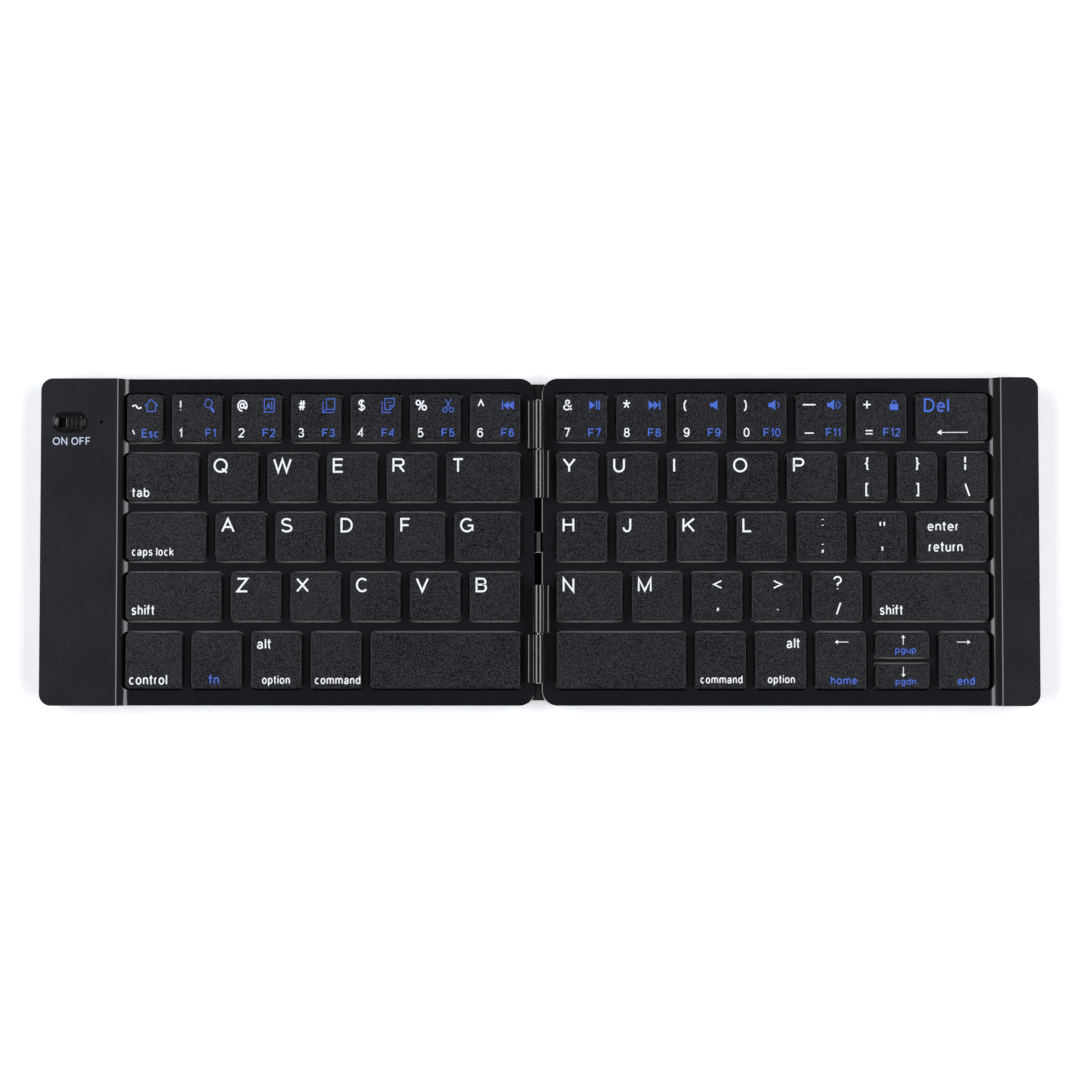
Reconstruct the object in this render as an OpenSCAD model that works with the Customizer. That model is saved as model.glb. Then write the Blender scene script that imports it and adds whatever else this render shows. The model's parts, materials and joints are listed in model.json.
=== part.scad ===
// Folding keyboard: two halves joined by a pair of pinned hinges, so that they close key to key.
// Lengths are in millimetres. The origin lies on the surface that the open keyboard stands on, under the
// middle of the hinge line. +X is to the right, +Y to the back (the number row) and +Z is up.
// Each half is drawn as the right one, with u measured from the hinge line outwards; the left is mirrored.

/* [Case] */
// Space between the two halves when the keyboard lies open
half_space = 2; // [1.8:0.1:2.6]
// Depth of the case, from its front edge to its back edge
case_d = 82.2; // [81:0.2:86]
// Radius of the corners at the outer ends
outer_corner_r = 3; // [1.5:0.25:4]
// Radius of the corners beside the hinge
hinge_corner_r = 3.8; // [2:0.2:4.4]
// Thickness of the outer walls
wall_t = 1.2; // [1:0.05:1.4]
// Thickness of the base trays' floors
floor_t = 1.2; // [1.1:0.05:1.6]
// Thickness of the key frames between the key wells
web_t = 1.6; // [1.2:0.1:1.8]
// Thickness of the end covers' tops
cover_t = 1.2; // [1:0.1:1.5]
// Space between each end cover and its key frame
cover_gap = 0.1; // [0.05:0.01:0.2]
// Width of the ribs that carry the support plates
rib_w = 1; // [0.8:0.1:1.5]

/* [Wings] */
// Width of the raised wing at the left end, which holds the battery and the main board.
// The wing at the right end takes what is left of an equally wide half.
left_wing_w = 19.15; // [18.5:0.05:22]
// Height of the wings above the key tops
wing_rise = 0.9; // [0.6:0.1:1.2]
// Radius of the hollow ramp that leads from the key frame up to each wing
ramp_r = 4.5; // [2.6:0.1:5]
// Width of the rim at the top of each ramp, beside the wing
ramp_rim_w = 0.25; // [0.15:0.05:0.5]
// Distance from the left wing to the outermost keys
left_wing_margin = 2.3; // [1.7:0.05:3.5]
// Distance from the right wing to the outermost keys
right_wing_margin = 3.3; // [1.8:0.05:4]

/* [Keys] */
// Width of a letter key
letter_w = 12.7; // [12.3:0.1:13.1]
// Depth of a key in the four back rows
row_h = 12; // [11.6:0.1:12.6]
// Space between neighbouring keys of a row
key_gap = 2.3; // [2.1:0.1:2.6]
// Space between rows
row_gap = 3; // [2.6:0.1:3.2]
// Distance from the back edge of the case to the number row
back_margin = 3.9; // [3.5:0.05:4.4]
// Distance from the front edge of the case to the space bars
front_margin = 4.3; // [3.6:0.05:4.8]
// Distance from each half's hinge edge to its first keys
hinge_margin = 3.55; // [3.2:0.05:4.2]
// Width of the escape key
esc_w = 9; // [8:0.05:11]
// Width of the delete key
del_w = 17.95; // [14:0.05:19]
// Width of the tab key
tab_w = 18.1; // [16:0.1:20]
// Width of the caps lock key
caps_w = 20.1; // [18:0.1:22]
// Width of the control key
control_w = 14.2; // [12.7:0.1:17]
// Width of the Y key
y_w = 10.4; // [10.3:0.05:11.4]
// Width of the square bracket keys
bracket_w = 10.2; // [10.2:0.01:10.6]
// Width of the N key
n_w = 16.5; // [14:0.1:20]
// Width of the right space bar
right_space_w = 32.3; // [30:0.1:34]
// Width of the up and down arrow keys
arrow_w = 13.5; // [12:0.1:14.5]
// Space between the up and down arrow keys
arrow_gap = 1.8; // [1.6:0.1:2.4]
// Radius of a key's corners, seen from above
key_r = 1.2; // [0.8:0.1:1.8]
// Radius of the corners where the up and down arrow keys face each other
arrow_r = 0.4; // [0.3:0.1:0.8]
// Space between a key and the wall of its well
well_gap = 0.45; // [0.35:0.05:0.55]
// Height of a key cap, from its skirt to its top
cap_h = 2.4; // [2.2:0.1:2.8]
// Thickness of a key cap's top
cap_top_t = 1.2; // [1:0.1:1.4]
// Thickness of a key cap's skirt
skirt_t = 0.8; // [0.6:0.1:0.9]
// Width of the bevel round a key cap's top
cap_bevel = 0.3; // [0.2:0.05:0.5]
// Height of the key tops above the key frame
key_proud = 1.4; // [1.3:0.1:1.7]
// How far a key goes down
key_travel = 1.2; // [0.9:0.1:1.4]
// Space left under a key's skirt when the key is down
skirt_rest = 0.15; // [0.1:0.05:0.3]

/* [Key mechanism] */
// Thickness of the steel support plates
plate_t = 0.4; // [0.3:0.05:0.6]
// Thickness of the printed membranes
membrane_t = 0.25; // [0.2:0.01:0.4]
// Thickness of the dome sheets between the domes
dome_sheet_t = 0.3; // [0.2:0.05:0.4]
// Clearance between stacked sheets and what lies over them
sheet_gap = 0.05; // [0.03:0.01:0.1]
// Distance from the leaves' uprights to the sheets
sheet_inset = 0.5; // [0.4:0.05:1]
// Radius of a dome at its foot
dome_foot_r = 2.9; // [2.5:0.1:3]
// How much narrower a dome is at its top
dome_draw = 1.2; // [1.1:0.05:1.4]
// Wall thickness of a dome
dome_wall = 0.5; // [0.4:0.05:0.6]
// Space between a dome's foot and the skirt of a narrow key
dome_gap = 0.2; // [0.1:0.05:0.3]
// Width across a pair of scissor links
link_span_w = 8.4; // [8.3:0.02:8.5]
// Length of a scissor link, from one cross bar to the other
link_l = 8; // [7:0.1:8.6]
// Width of a link's arm
link_arm_w = 0.8; // [0.6:0.05:0.85]
// Thickness of a link
link_t = 0.6; // [0.4:0.05:0.7]
// Space between the outer and the inner link of a pair
link_gap = 0.15; // [0.1:0.01:0.2]
// Space over and under the links' cross bars
bar_gap = 0.15; // [0.1:0.01:0.25]

/* [Hinges] */
// Length of each hinge along its pin
hinge_l = 24.4; // [20:0.2:26]
// Distance of each hinge's middle from the middle of the keyboard
hinge_from_middle = 23.05; // [20:0.05:23.5]
// Space between the two knuckles of a hinge
knuckle_gap = 0.4; // [0.2:0.05:0.6]
// Radius of the knuckles
knuckle_r = 1.325; // [1.2:0.025:1.6]
// Radius of the hinge pins
pin_r = 0.6; // [0.5:0.05:0.7]
// Clearance round the pin in the knuckle that turns on it
pin_run = 0.04; // [0.02:0.01:0.08]
// Clearance round the pin in the knuckle that holds it
pin_seat = 0.01; // [0.01:0.005:0.015]
// Radius of the pins' heads
pin_head_r = 0.95; // [0.8:0.05:1.1]
// Height of the pins' heads
pin_head_h = 0.4; // [0.3:0.05:0.6]
// Thickness of a leaf's plate, which lies on the tray floor
leaf_t = 0.8; // [0.6:0.05:1]
// Length of a leaf's plate, from the edge of the case inwards
leaf_l = 8; // [7:0.1:9]
// Thickness of the upright that joins a leaf's plate to its knuckle
riser_t = 1.8; // [1.5:0.05:1.9]
// Height of the upright's shoulder above the hinge axis
shoulder_h = 0.6; // [0.4:0.05:0.8]
// Space round a leaf's upright in the notch of the case
notch_gap = 0.05; // [0.03:0.01:0.1]
// Space between the two wings' tops when the keyboard is closed
closed_gap = 0.2; // [0.1:0.05:0.4]

/* [Between the halves] */
// Width of the flexible cable
flex_w = 5; // [4:0.1:6]
// Thickness of the flexible cable
flex_t = 0.3; // [0.2:0.05:0.4]
// Space round the cable in its slots
flex_gap = 0.1; // [0.05:0.01:0.15]
// Height of the cable's loop between the halves, above the tray floor
flex_loop_h = 3.9; // [3:0.1:4.2]
// How far the cable reaches into the right half
flex_reach = 9; // [6:0.1:14]
// Space between the cable's loop or the seals and the right half
seal_gap = 0.2; // [0.15:0.01:0.3]
// Height of the rubber seals
seal_h = 3.2; // [2:0.1:3.4]
// Height of the low part of the seals, between the hinges
seal_low_h = 0.8; // [0.5:0.05:1.2]
// Distance from the ends of the seals to the front and back of the case
seal_inset = 1.3; // [1:0.1:2]

/* [Screws and feet] */
// Radius of the screws
screw_r = 0.7; // [0.6:0.05:0.8]
// Clearance round the screws' threads
thread_gap = 0.01; // [0.005:0.001:0.02]
// Radius of the screws' heads
head_r = 1.3; // [1.1:0.05:1.4]
// Height of the screws' heads
head_h = 0.5; // [0.4:0.05:0.55]
// Space round the heads, and how deep they sit below the tray's underside
head_sink = 0.1; // [0.05:0.01:0.15]
// Radius of the bosses that take the case screws
boss_r = 1.4; // [1.3:0.05:1.45]
// Distance from the outside of the case to the middle of a boss
boss_inset = 1.65; // [1.5:0.05:1.75]
// Distance from the hinge edge to the nearest case screws
first_screw_u = 14; // [12:0.5:20]
// Distance from each key frame's wing edge to the furthest case screws
last_screw_in = 8; // [6:0.5:12]
// How far the case screws reach into the key frames and the end covers
thread_l = 2; // [1.2:0.1:2.2]
// Distance from a leaf's edge to the middle of its nearest screw
leaf_screw_in = 3; // [2.2:0.1:3.6]
// Distance from the hinge edge to the screws of the leaves
leaf_screw_u = 5; // [4.2:0.1:5.4]
// Radius of the rubber feet
foot_r = 4; // [3:0.1:4.4]
// How far the feet stand out under the trays
foot_proud = 0.6; // [0.4:0.05:1]
// Depth of the recesses that hold the feet
foot_sink = 0.4; // [0.3:0.05:0.5]
// Distance from the feet to the hinge edge and to the outer ends
foot_in_u = 14; // [13.2:0.1:20]
// Distance from the feet to the front and back of the case
foot_in_y = 9; // [8:0.1:12]

/* [Electronics] */
// Thickness of the main board
board_t = 0.8; // [0.6:0.1:1]
// Space between the main board and the walls
board_gap = 0.5; // [0.4:0.05:0.8]
// Length of the main board along the wing
board_l = 38.4; // [36:0.1:44]
// Width of the controller chip
chip_w = 5; // [4:0.1:6]
// Height of the chip and of the crystal beside it
chip_h = 0.9; // [0.6:0.05:1.2]
// Width of the crystal
crystal_w = 2; // [1.5:0.1:2.5]
// Width of the status light
light_w = 1; // [0.8:0.1:1.6]
// Height of the status light
light_h = 0.5; // [0.3:0.05:0.8]
// Thickness of the battery
battery_t = 4.4; // [3.5:0.1:4.8]
// Space between the battery and what lies round it
battery_gap = 0.4; // [0.1:0.05:1]
// Radius of the battery's corners
battery_r = 1.5; // [0.5:0.1:2.5]
// Width of the USB socket
usb_w = 7.5; // [7.4:0.05:9]
// Height of the USB socket
usb_h = 2.6; // [2.4:0.05:2.8]
// Depth of the USB socket
usb_l = 5; // [4.6:0.1:6]
// Wall thickness of the USB socket's shell
usb_wall = 0.3; // [0.2:0.05:0.35]
// Distance from the USB socket's mouth to the tongue inside it
usb_tongue_in = 1; // [0.6:0.1:1.5]
// Space round the USB socket in the wall
usb_gap = 0.2; // [0.1:0.05:0.3]
// Distance of the USB socket's middle from the middle of the keyboard
usb_y = 10; // [8:0.1:14]

/* [Power switch] */
// Distance of the switch from the outer end
switch_from_end = 7.4; // [7.2:0.05:8.6]
// Distance of the switch from the back edge
switch_from_back = 11.1; // [9:0.05:14]
// Length of the dish round the switch
dish_l = 9.3; // [9:0.05:10]
// Width of the dish round the switch
dish_w = 5.3; // [4.6:0.05:6]
// Depth of the dish
dish_depth = 0.9; // [0.6:0.05:1]
// Width of the ledge between the dish's slope and its slot
dish_ledge = 0.25; // [0.1:0.05:0.4]
// Thickness of the cover under the dish
dish_floor_t = 0.8; // [0.6:0.05:1]
// Length of the knob
knob_l = 4.3; // [3.8:0.1:4.6]
// Width of the knob
knob_w = 2.3; // [2:0.1:2.6]
// How far the knob's top lies below the wing's top
knob_sink = 0.3; // [0.2:0.05:0.5]
// Height of the knob's ridges
ridge_h = 0.3; // [0.2:0.05:0.4]
// Width of a ridge
ridge_w = 0.45; // [0.3:0.05:0.6]
// Number of ridges on the knob
ridges = 4; // [3:1:5]
// How far the knob slides
switch_travel = 1.8; // [1.4:0.1:2]
// Space round the knob and its carrier
knob_gap = 0.1; // [0.05:0.01:0.15]
// Thickness of the carrier under the slot
carrier_t = 0.7; // [0.5:0.05:0.9]
// How far the carrier reaches past the slot
carrier_lap = 0.4; // [0.3:0.05:0.6]
// Height of the switch's body on the main board
switch_h = 1.6; // [1.4:0.05:1.8]
// Thickness of the switch's body beside its groove
switch_side = 1; // [0.7:0.05:1.2]
// Thickness of the switch's body past the ends of its groove
switch_end = 2.3; // [1:0.1:2.6]
// Width of the nib that moves the switch
nib_w = 1.2; // [1:0.05:1.4]
// How far the nib reaches into the switch's body
nib_depth = 0.3; // [0.2:0.05:0.4]
// Distance of the status light from the wing's inner edge
light_in = 4; // [3:0.1:5]
// Radius of the hole over the status light
light_hole_r = 0.38; // [0.3:0.02:0.6]

/* [Hidden] */
$fn = 48;
eps = 0.01;
fill = 0; // the width written for the key that takes what is left of its row
last_row = 4;
past = 1; // how far a block that cuts or bounds a piece reaches past it

// Colours
shell_colour = [0.11, 0.11, 0.125];
cover_colour = [0.15, 0.15, 0.165];
cap_colour = [0.17, 0.17, 0.185];
steel_colour = [0.55, 0.56, 0.58];
hinge_colour = [0.07, 0.07, 0.08];
rubber_colour = [0.08, 0.08, 0.08];
seal_colour = [0.26, 0.23, 0.21];
film_colour = [0.75, 0.8, 0.72];
dome_colour = [0.85, 0.85, 0.82];
link_colour = [0.8, 0.8, 0.78];
board_colour = [0.05, 0.3, 0.15];
battery_colour = [0.7, 0.71, 0.73];

// Places across each half
edge_u = half_space / 2;
keys_start_u = edge_u + hinge_margin;
back_y = case_d / 2;
front_y = -case_d / 2;

// Heights, from the surface that the keyboard stands on
tray_z = foot_proud;
floor_z = tray_z + floor_t;
plate_z = floor_z + leaf_t + 2 * sheet_gap;
membrane_z = plate_z + plate_t;
dome_sheet_z = membrane_z + membrane_t;
seam_z = dome_sheet_z + sheet_gap;
mat_z = dome_sheet_z + dome_sheet_t;
skirt_z = mat_z + key_travel + skirt_rest;
key_top_z = skirt_z + cap_h;
cap_under_z = key_top_z - cap_top_t;
frame_z = key_top_z - key_proud;
web_z = frame_z - web_t;
wing_z = key_top_z + wing_rise;
axis_z = wing_z + closed_gap / 2;
cover_under_z = wing_z - cover_t;

// Rows of keys, from the back of the keyboard to the front
row_pitch = row_h + row_gap;
last_row_h = case_d - back_margin - front_margin - last_row * row_pitch;
keys_back_y = back_y - back_margin;
keys_front_y = front_y + front_margin;
function row_depth(row) = row == last_row ? last_row_h : row_h;
function row_y(row) = keys_back_y - row * row_pitch - row_depth(row) / 2;

// The keys of each row from the hinge outwards: the node that the key belongs to, and its width.
// A third entry marks the place of the up and down arrows, one behind the other.
left_rows = [
    [for (i = [0 : 6]) ["left_number_keys", i < 6 ? letter_w : esc_w]],
    [["key_t", fill], ["key_r", letter_w], ["key_e", letter_w], ["key_w", letter_w], ["key_q", letter_w],
        ["left_control_keys", tab_w]],
    [["key_g", fill], ["key_f", letter_w], ["key_d", letter_w], ["key_s", letter_w], ["key_a", letter_w],
        ["left_control_keys", caps_w]],
    [["key_b", letter_w], ["key_v", letter_w], ["key_c", letter_w], ["key_x", letter_w],
        ["key_z", letter_w], ["left_control_keys", fill]],
    [["left_space_key", fill], ["left_control_keys", letter_w], ["left_control_keys", letter_w],
        ["left_control_keys", letter_w], ["left_control_keys", control_w]],
];
right_rows = [
    [for (i = [0 : 6]) ["right_number_keys", i < 6 ? letter_w : del_w]],
    [["key_y", y_w], ["key_u", letter_w], ["key_i", letter_w], ["key_o", letter_w], ["key_p", letter_w],
        ["right_symbol_keys", bracket_w], ["right_symbol_keys", bracket_w], ["right_symbol_keys", fill]],
    [["key_h", letter_w], ["key_j", letter_w], ["key_k", letter_w], ["key_l", letter_w],
        ["right_symbol_keys", letter_w], ["right_symbol_keys", letter_w], ["right_control_keys", fill]],
    [["key_n", n_w], ["key_m", letter_w], ["right_symbol_keys", letter_w], ["right_symbol_keys", letter_w],
        ["right_symbol_keys", letter_w], ["right_control_keys", fill]],
    [["right_space_key", right_space_w], ["right_control_keys", letter_w],
        ["right_control_keys", letter_w], ["right_control_keys", letter_w],
        ["right_control_keys", arrow_w, "pair"], ["right_control_keys", fill]],
];

// Where the keys end on each half, which the number row settles
function sum(list, count) = count == 0 ? 0 : list[count - 1] + sum(list, count - 1);
function row_end_u(row) = keys_start_u + sum([for (key = row) key[1]], len(row)) + (len(row) - 1) * key_gap;
left_keys_end_u = row_end_u(left_rows[0]);
right_keys_end_u = row_end_u(right_rows[0]);
outer_u = left_keys_end_u + left_wing_margin + left_wing_w;

// A half: its name, the inner edge of its wing, the end of its keys, and its rows
LEFT = ["left", left_keys_end_u + left_wing_margin, left_keys_end_u, left_rows];
RIGHT = ["right", right_keys_end_u + right_wing_margin, right_keys_end_u, right_rows];
function wing_u(half) = half[1];
function keys_end_u(half) = half[2];

// Where a half's ramp starts
ramp_run = sqrt(ramp_r * ramp_r - pow(ramp_r - (wing_z - frame_z), 2));
function ramp_u(half) = wing_u(half) - ramp_rim_w - ramp_run;

// Widths of the keys in a row
function fill_w(half, row) =
    keys_end_u(half) - keys_start_u - (len(row) - 1) * key_gap - sum([for (key = row) key[1]], len(row));
function widths(half, row) = [for (key = row) key[1] == fill ? fill_w(half, row) : key[1]];

// Every key cap of a half: [node, middle u, middle y, width, depth, back corner radius, front corner radius]
arrow_d = (last_row_h - arrow_gap) / 2;
function caps_at(key, u, y, w, d) =
    len(key) < 3 ? [[key[0], u, y, w, d, key_r, key_r]] : [
        [key[0], u, y + (arrow_gap + arrow_d) / 2, w, arrow_d, key_r, arrow_r],
        [key[0], u, y - (arrow_gap + arrow_d) / 2, w, arrow_d, arrow_r, key_r],
    ];
function caps(half) = [
    for (r = [0 : last_row])
        let (row = half[3][r], w = widths(half, row))
            for (i = [0 : len(row) - 1])
                let (u = keys_start_u + sum(w, i) + i * key_gap + w[i] / 2)
                    each caps_at(row[i], u, row_y(r), w[i], row_depth(r)),
];
left_caps = caps(LEFT);
right_caps = caps(RIGHT);
function caps_of(half) = half == LEFT ? left_caps : right_caps;

// Leaves: the left half holds the outer knuckle of each hinge, and the right half the inner one
function leaf_ys(half) = half == LEFT
    ? [hinge_from_middle + knuckle_gap / 2, hinge_from_middle + hinge_l / 2]
    : [hinge_from_middle - hinge_l / 2, hinge_from_middle - knuckle_gap / 2];
riser_u = edge_u + riser_t;

// Sheets under the keys
sheet_start_u = riser_u + sheet_inset;

// Screws: [u, y] of the case screws in the key frame and in the end cover, and of the leaf screws
function frame_screws(half) =
    let (first = edge_u + first_screw_u, last = wing_u(half) - last_screw_in)
        [for (u = [first, (first + last) / 2, last], side = [-1, 1]) [u, side * (back_y - boss_inset)]];
cover_boss_in = wall_t + boss_r;
cover_screws = [for (side = [-1, 1]) [outer_u - cover_boss_in, side * (back_y - cover_boss_in)]];
function leaf_screws(half) = [
    for (side = [-1, 1], y = [leaf_ys(half)[0] + leaf_screw_in, leaf_ys(half)[1] - leaf_screw_in])
        [edge_u + leaf_screw_u, side * y],
];
function case_screws(half) = concat(frame_screws(half), cover_screws);
head_top_z = tray_z + head_sink + head_h;
feet = [
    for (u = [edge_u + foot_in_u, outer_u - foot_in_u], side = [-1, 1]) [u, side * (back_y - foot_in_y)],
];

// The flexible cable, and the lowest place over it
flex_z = floor_z + sheet_gap;
over_flex_z = flex_z + flex_t + 2 * sheet_gap;

// Inside of the left wing
chamber_u = wing_u(LEFT) + cover_gap + wall_t;
board_z = over_flex_z;
board_top_z = board_z + board_t;
board_u = chamber_u + board_gap;
board_end_u = outer_u - wall_t - board_gap;
board_back_y = back_y - wall_t - 2 * boss_r - board_gap;
board_front_y = board_back_y - board_l;
usb_z = board_top_z + usb_h / 2;

// Power switch. The knob rests at the end of its slot that is nearer the hinge, which is off.
switch_u = outer_u - switch_from_end;
switch_y = back_y - switch_from_back;
slot_l = knob_l + switch_travel + 2 * knob_gap;
slot_w = knob_w + 2 * knob_gap;
knob_u = switch_u - switch_travel / 2;
dish_z = wing_z - dish_depth;
dish_under_z = dish_z - dish_floor_t;
knob_top_z = wing_z - knob_sink;
carrier_z = dish_under_z - knob_gap - carrier_t;
carrier_l = slot_l + switch_travel + 2 * carrier_lap;
carrier_w = slot_w + 2 * carrier_lap;
switch_top_z = board_top_z + switch_h;
groove_l = nib_w + switch_travel + 4 * knob_gap;
groove_w = nib_w + 4 * knob_gap;
switch_l = groove_l + 2 * switch_end;
switch_w = groove_w + 2 * switch_side;
light_u = wing_u(LEFT) + light_in;
tail_ys = [usb_y + usb_w / 2 + board_gap, switch_y - switch_w / 2 - board_gap];

// The cross bars of the scissor links
low_bar_z = mat_z + link_t / 2 + bar_gap;
high_bar_z = cap_under_z - link_t / 2 - bar_gap;
link_tilt = asin((high_bar_z - low_bar_z) / link_l);

LETTERS = [for (c = "abcdefghijklmnopqrstuvwxyz") str("key_", c)];
LEFT_GROUPS = ["left_space_key", "left_number_keys", "left_control_keys"];
RIGHT_GROUPS = ["right_space_key", "right_number_keys", "right_symbol_keys", "right_control_keys"];

// ---- Helpers ----

// Draws a half's pieces where that half is
module place(half) {
    if (half == LEFT) mirror([1, 0, 0]) children();
    else children();
}

// Extrudes a shape drawn in u and z from y0 to y1
module along_y(y0, y1) {
    translate([0, y1, 0]) rotate([90, 0, 0]) linear_extrude(y1 - y0) children();
}

// Extrudes a shape drawn in y and z from u0 to u1
module along_u(u0, u1) {
    translate([u0, 0, 0]) rotate([90, 0, 90]) linear_extrude(u1 - u0) children();
}

// A block from one corner to the opposite one
module block(low, high) {
    translate(low) cube(high - low);
}

// A rectangle with its own radius at each corner: front left, front right, back right, back left
module rounded(u0, u1, y0, y1, radii) {
    polygon([
        [u0 + radii[0], y0], [u1 - radii[1], y0], [u1, y0 + radii[1]], [u1, y1 - radii[2]],
        [u1 - radii[2], y1], [u0 + radii[3], y1], [u0, y1 - radii[3]], [u0, y0 + radii[0]],
    ]);
    translate([u0 + radii[0], y0 + radii[0]]) circle(radii[0]);
    translate([u1 - radii[1], y0 + radii[1]]) circle(radii[1]);
    translate([u1 - radii[2], y1 - radii[2]]) circle(radii[2]);
    translate([u0 + radii[3], y1 - radii[3]]) circle(radii[3]);
}

// The outline of a half from above, between two places across it, drawn in by an inset
module outline(from_u, to_u, inset, hinge_r, outer_r) {
    near = max(hinge_r - inset, 0.3);
    far = max(outer_r - inset, 0.3);
    rounded(from_u + inset, to_u - inset, front_y + inset, back_y - inset, [near, far, far, near]);
}

// The outline of a key cap or, made larger all round, of its well
module cap_outline(cap, grow) {
    w = cap[3] / 2 + grow;
    d = cap[4] / 2 + grow;
    back_r = cap[5] + max(grow, -cap[5] / 2);
    front_r = cap[6] + max(grow, -cap[6] / 2);
    translate([cap[1], cap[2]]) rounded(-w, w, -d, d, [front_r, front_r, back_r, back_r]);
}

// A round hole or post at each of a list of places
module at_each(points) {
    for (p = points) translate([p[0], p[1], 0]) children();
}

// ---- Case ----

module base_tray(half) {
    color(shell_colour) place(half) difference() {
        union() {
            difference() {
                translate([0, 0, tray_z]) linear_extrude(seam_z - tray_z)
                    outline(edge_u, outer_u, 0, hinge_corner_r, outer_corner_r);
                translate([0, 0, floor_z]) linear_extrude(seam_z)
                    outline(edge_u, outer_u, wall_t, hinge_corner_r, outer_corner_r);
            }
            plate_ribs(half);
            screw_bosses(half, case_screws(half), floor_z - eps, seam_z);
            if (half == LEFT) board_posts();
        }
        leaf_notches(half);
        at_each(concat(case_screws(half), leaf_screws(half))) screw_hole();
        at_each(feet) translate([0, 0, tray_z - eps]) cylinder(r = foot_r, h = foot_sink + eps);
        flex_slot();
        if (half == LEFT) usb_hole();
    }
}

// Ribs under the spaces between the rows, which carry the support plate
module plate_ribs(half) {
    for (r = [1 : last_row]) {
        y = keys_back_y - r * row_pitch + row_gap / 2;
        block([edge_u + leaf_l + 2 * rib_w, y - rib_w / 2, floor_z - eps],
            [keys_end_u(half), y + rib_w / 2, plate_z - sheet_gap]);
    }
}

// Posts that carry the main board
module board_posts() {
    post_ys = [flex_w / 2 + flex_gap + 2 * rib_w, board_back_y - 2 * rib_w];
    for (u = [board_u + 2 * rib_w, board_end_u - 2 * rib_w], y = post_ys)
        translate([u, y, floor_z - eps]) cylinder(r = rib_w, h = board_z - floor_z - sheet_gap + eps);
}

// Where the leaves' uprights stand in the edge of the case
module leaf_notches(half) {
    ys = leaf_ys(half);
    for (side = [0, 1]) mirror([0, side, 0])
        block([0, ys[0] - notch_gap, floor_z], [riser_u + notch_gap, ys[1] + notch_gap, wing_z]);
}

// The bosses round a half's case screws, between two heights, kept inside the outline of the case
module screw_bosses(half, points, low_z, high_z) {
    translate([0, 0, low_z]) linear_extrude(high_z - low_z) intersection() {
        at_each(points) circle(boss_r);
        outline(edge_u, outer_u, wall_t / 2, hinge_corner_r, outer_corner_r);
    }
}

// A screw's hole in the tray, with the wider hole that its head sits in
module screw_hole() {
    translate([0, 0, tray_z - eps]) cylinder(r = head_r + head_sink, h = head_top_z - tray_z + eps);
    translate([0, 0, tray_z]) cylinder(r = screw_r + 3 * thread_gap, h = seam_z - tray_z + eps);
}

// The threaded holes above the seam
module threaded_holes(points) {
    at_each(points) translate([0, 0, seam_z - eps])
        cylinder(r = screw_r + thread_gap, h = thread_l + sheet_gap + eps);
}

// The slot that the flexible cable comes out of, and its way through any rib of the tray
module flex_slot() {
    side_y = flex_w / 2 + flex_gap;
    block([0, -side_y, floor_z], [edge_u + wall_t + eps, side_y, over_flex_z]);
    block([edge_u + wall_t, -side_y, floor_z], [board_u, side_y, plate_z]);
}

// The mouth of the USB socket in the left end
module usb_hole() {
    block([outer_u - wall_t - eps, usb_y - usb_w / 2 - usb_gap, usb_z - usb_h / 2 - usb_gap],
        [outer_u + eps, usb_y + usb_w / 2 + usb_gap, usb_z + usb_h / 2 + usb_gap]);
}

module key_frame(half) {
    color(shell_colour) place(half) difference() {
        union() {
            frame_shell(half);
            screw_bosses(half, frame_screws(half), seam_z, web_z + eps);
        }
        for (cap = caps_of(half))
            translate([0, 0, seam_z - past]) linear_extrude(wing_z) cap_outline(cap, well_gap);
        leaf_notches(half);
        threaded_holes(frame_screws(half));
    }
}

// The frame's walls and web, with the hollow ramp up to the wing
module frame_shell(half) {
    intersection() {
        union() {
            difference() {
                translate([0, 0, seam_z]) linear_extrude(frame_z - seam_z)
                    outline(edge_u, outer_u, 0, hinge_corner_r, outer_corner_r);
                translate([0, 0, seam_z - eps]) linear_extrude(web_z - seam_z + eps)
                    rounded(edge_u + wall_t, wing_u(half) - wall_t, front_y + wall_t, back_y - wall_t,
                        [for (i = [0 : 3]) hinge_corner_r / 2]);
            }
            along_y(front_y, back_y) difference() {
                translate([ramp_u(half), frame_z - eps])
                    square([wing_u(half) - ramp_u(half), wing_z - frame_z + eps]);
                translate([ramp_u(half), frame_z + ramp_r]) circle(ramp_r);
            }
        }
        block([0, front_y - past, 0], [wing_u(half), back_y + past, 2 * wing_z]);
    }
}

module end_cover(half) {
    near_u = wing_u(half) + cover_gap;
    color(cover_colour) place(half) difference() {
        union() {
            difference() {
                intersection() {
                    translate([0, 0, seam_z]) linear_extrude(wing_z - seam_z)
                        outline(edge_u, outer_u, 0, hinge_corner_r, outer_corner_r);
                    block([near_u, front_y - past, 0], [outer_u + past, back_y + past, 2 * wing_z]);
                }
                translate([0, 0, seam_z - eps]) linear_extrude(cover_under_z - seam_z + eps)
                    rounded(near_u + wall_t, outer_u - wall_t, front_y + wall_t, back_y - wall_t,
                        [for (i = [0 : 3]) outer_corner_r / 2]);
            }
            screw_bosses(half, cover_screws, seam_z, cover_under_z + eps);
            if (half == LEFT) dish_pad();
        }
        threaded_holes(cover_screws);
        if (half == LEFT) {
            usb_hole();
            dish();
            translate([light_u, switch_y, cover_under_z - eps])
                cylinder(r = light_hole_r, h = cover_t + 2 * eps);
        }
    }
}

// The thicker place in the cover's top that carries the dish
module dish_pad() {
    block([switch_u - dish_l / 2 - rib_w, switch_y - dish_w / 2 - rib_w, dish_under_z],
        [switch_u + dish_l / 2 + rib_w, switch_y + dish_w / 2 + rib_w, cover_under_z + eps]);
}

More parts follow.
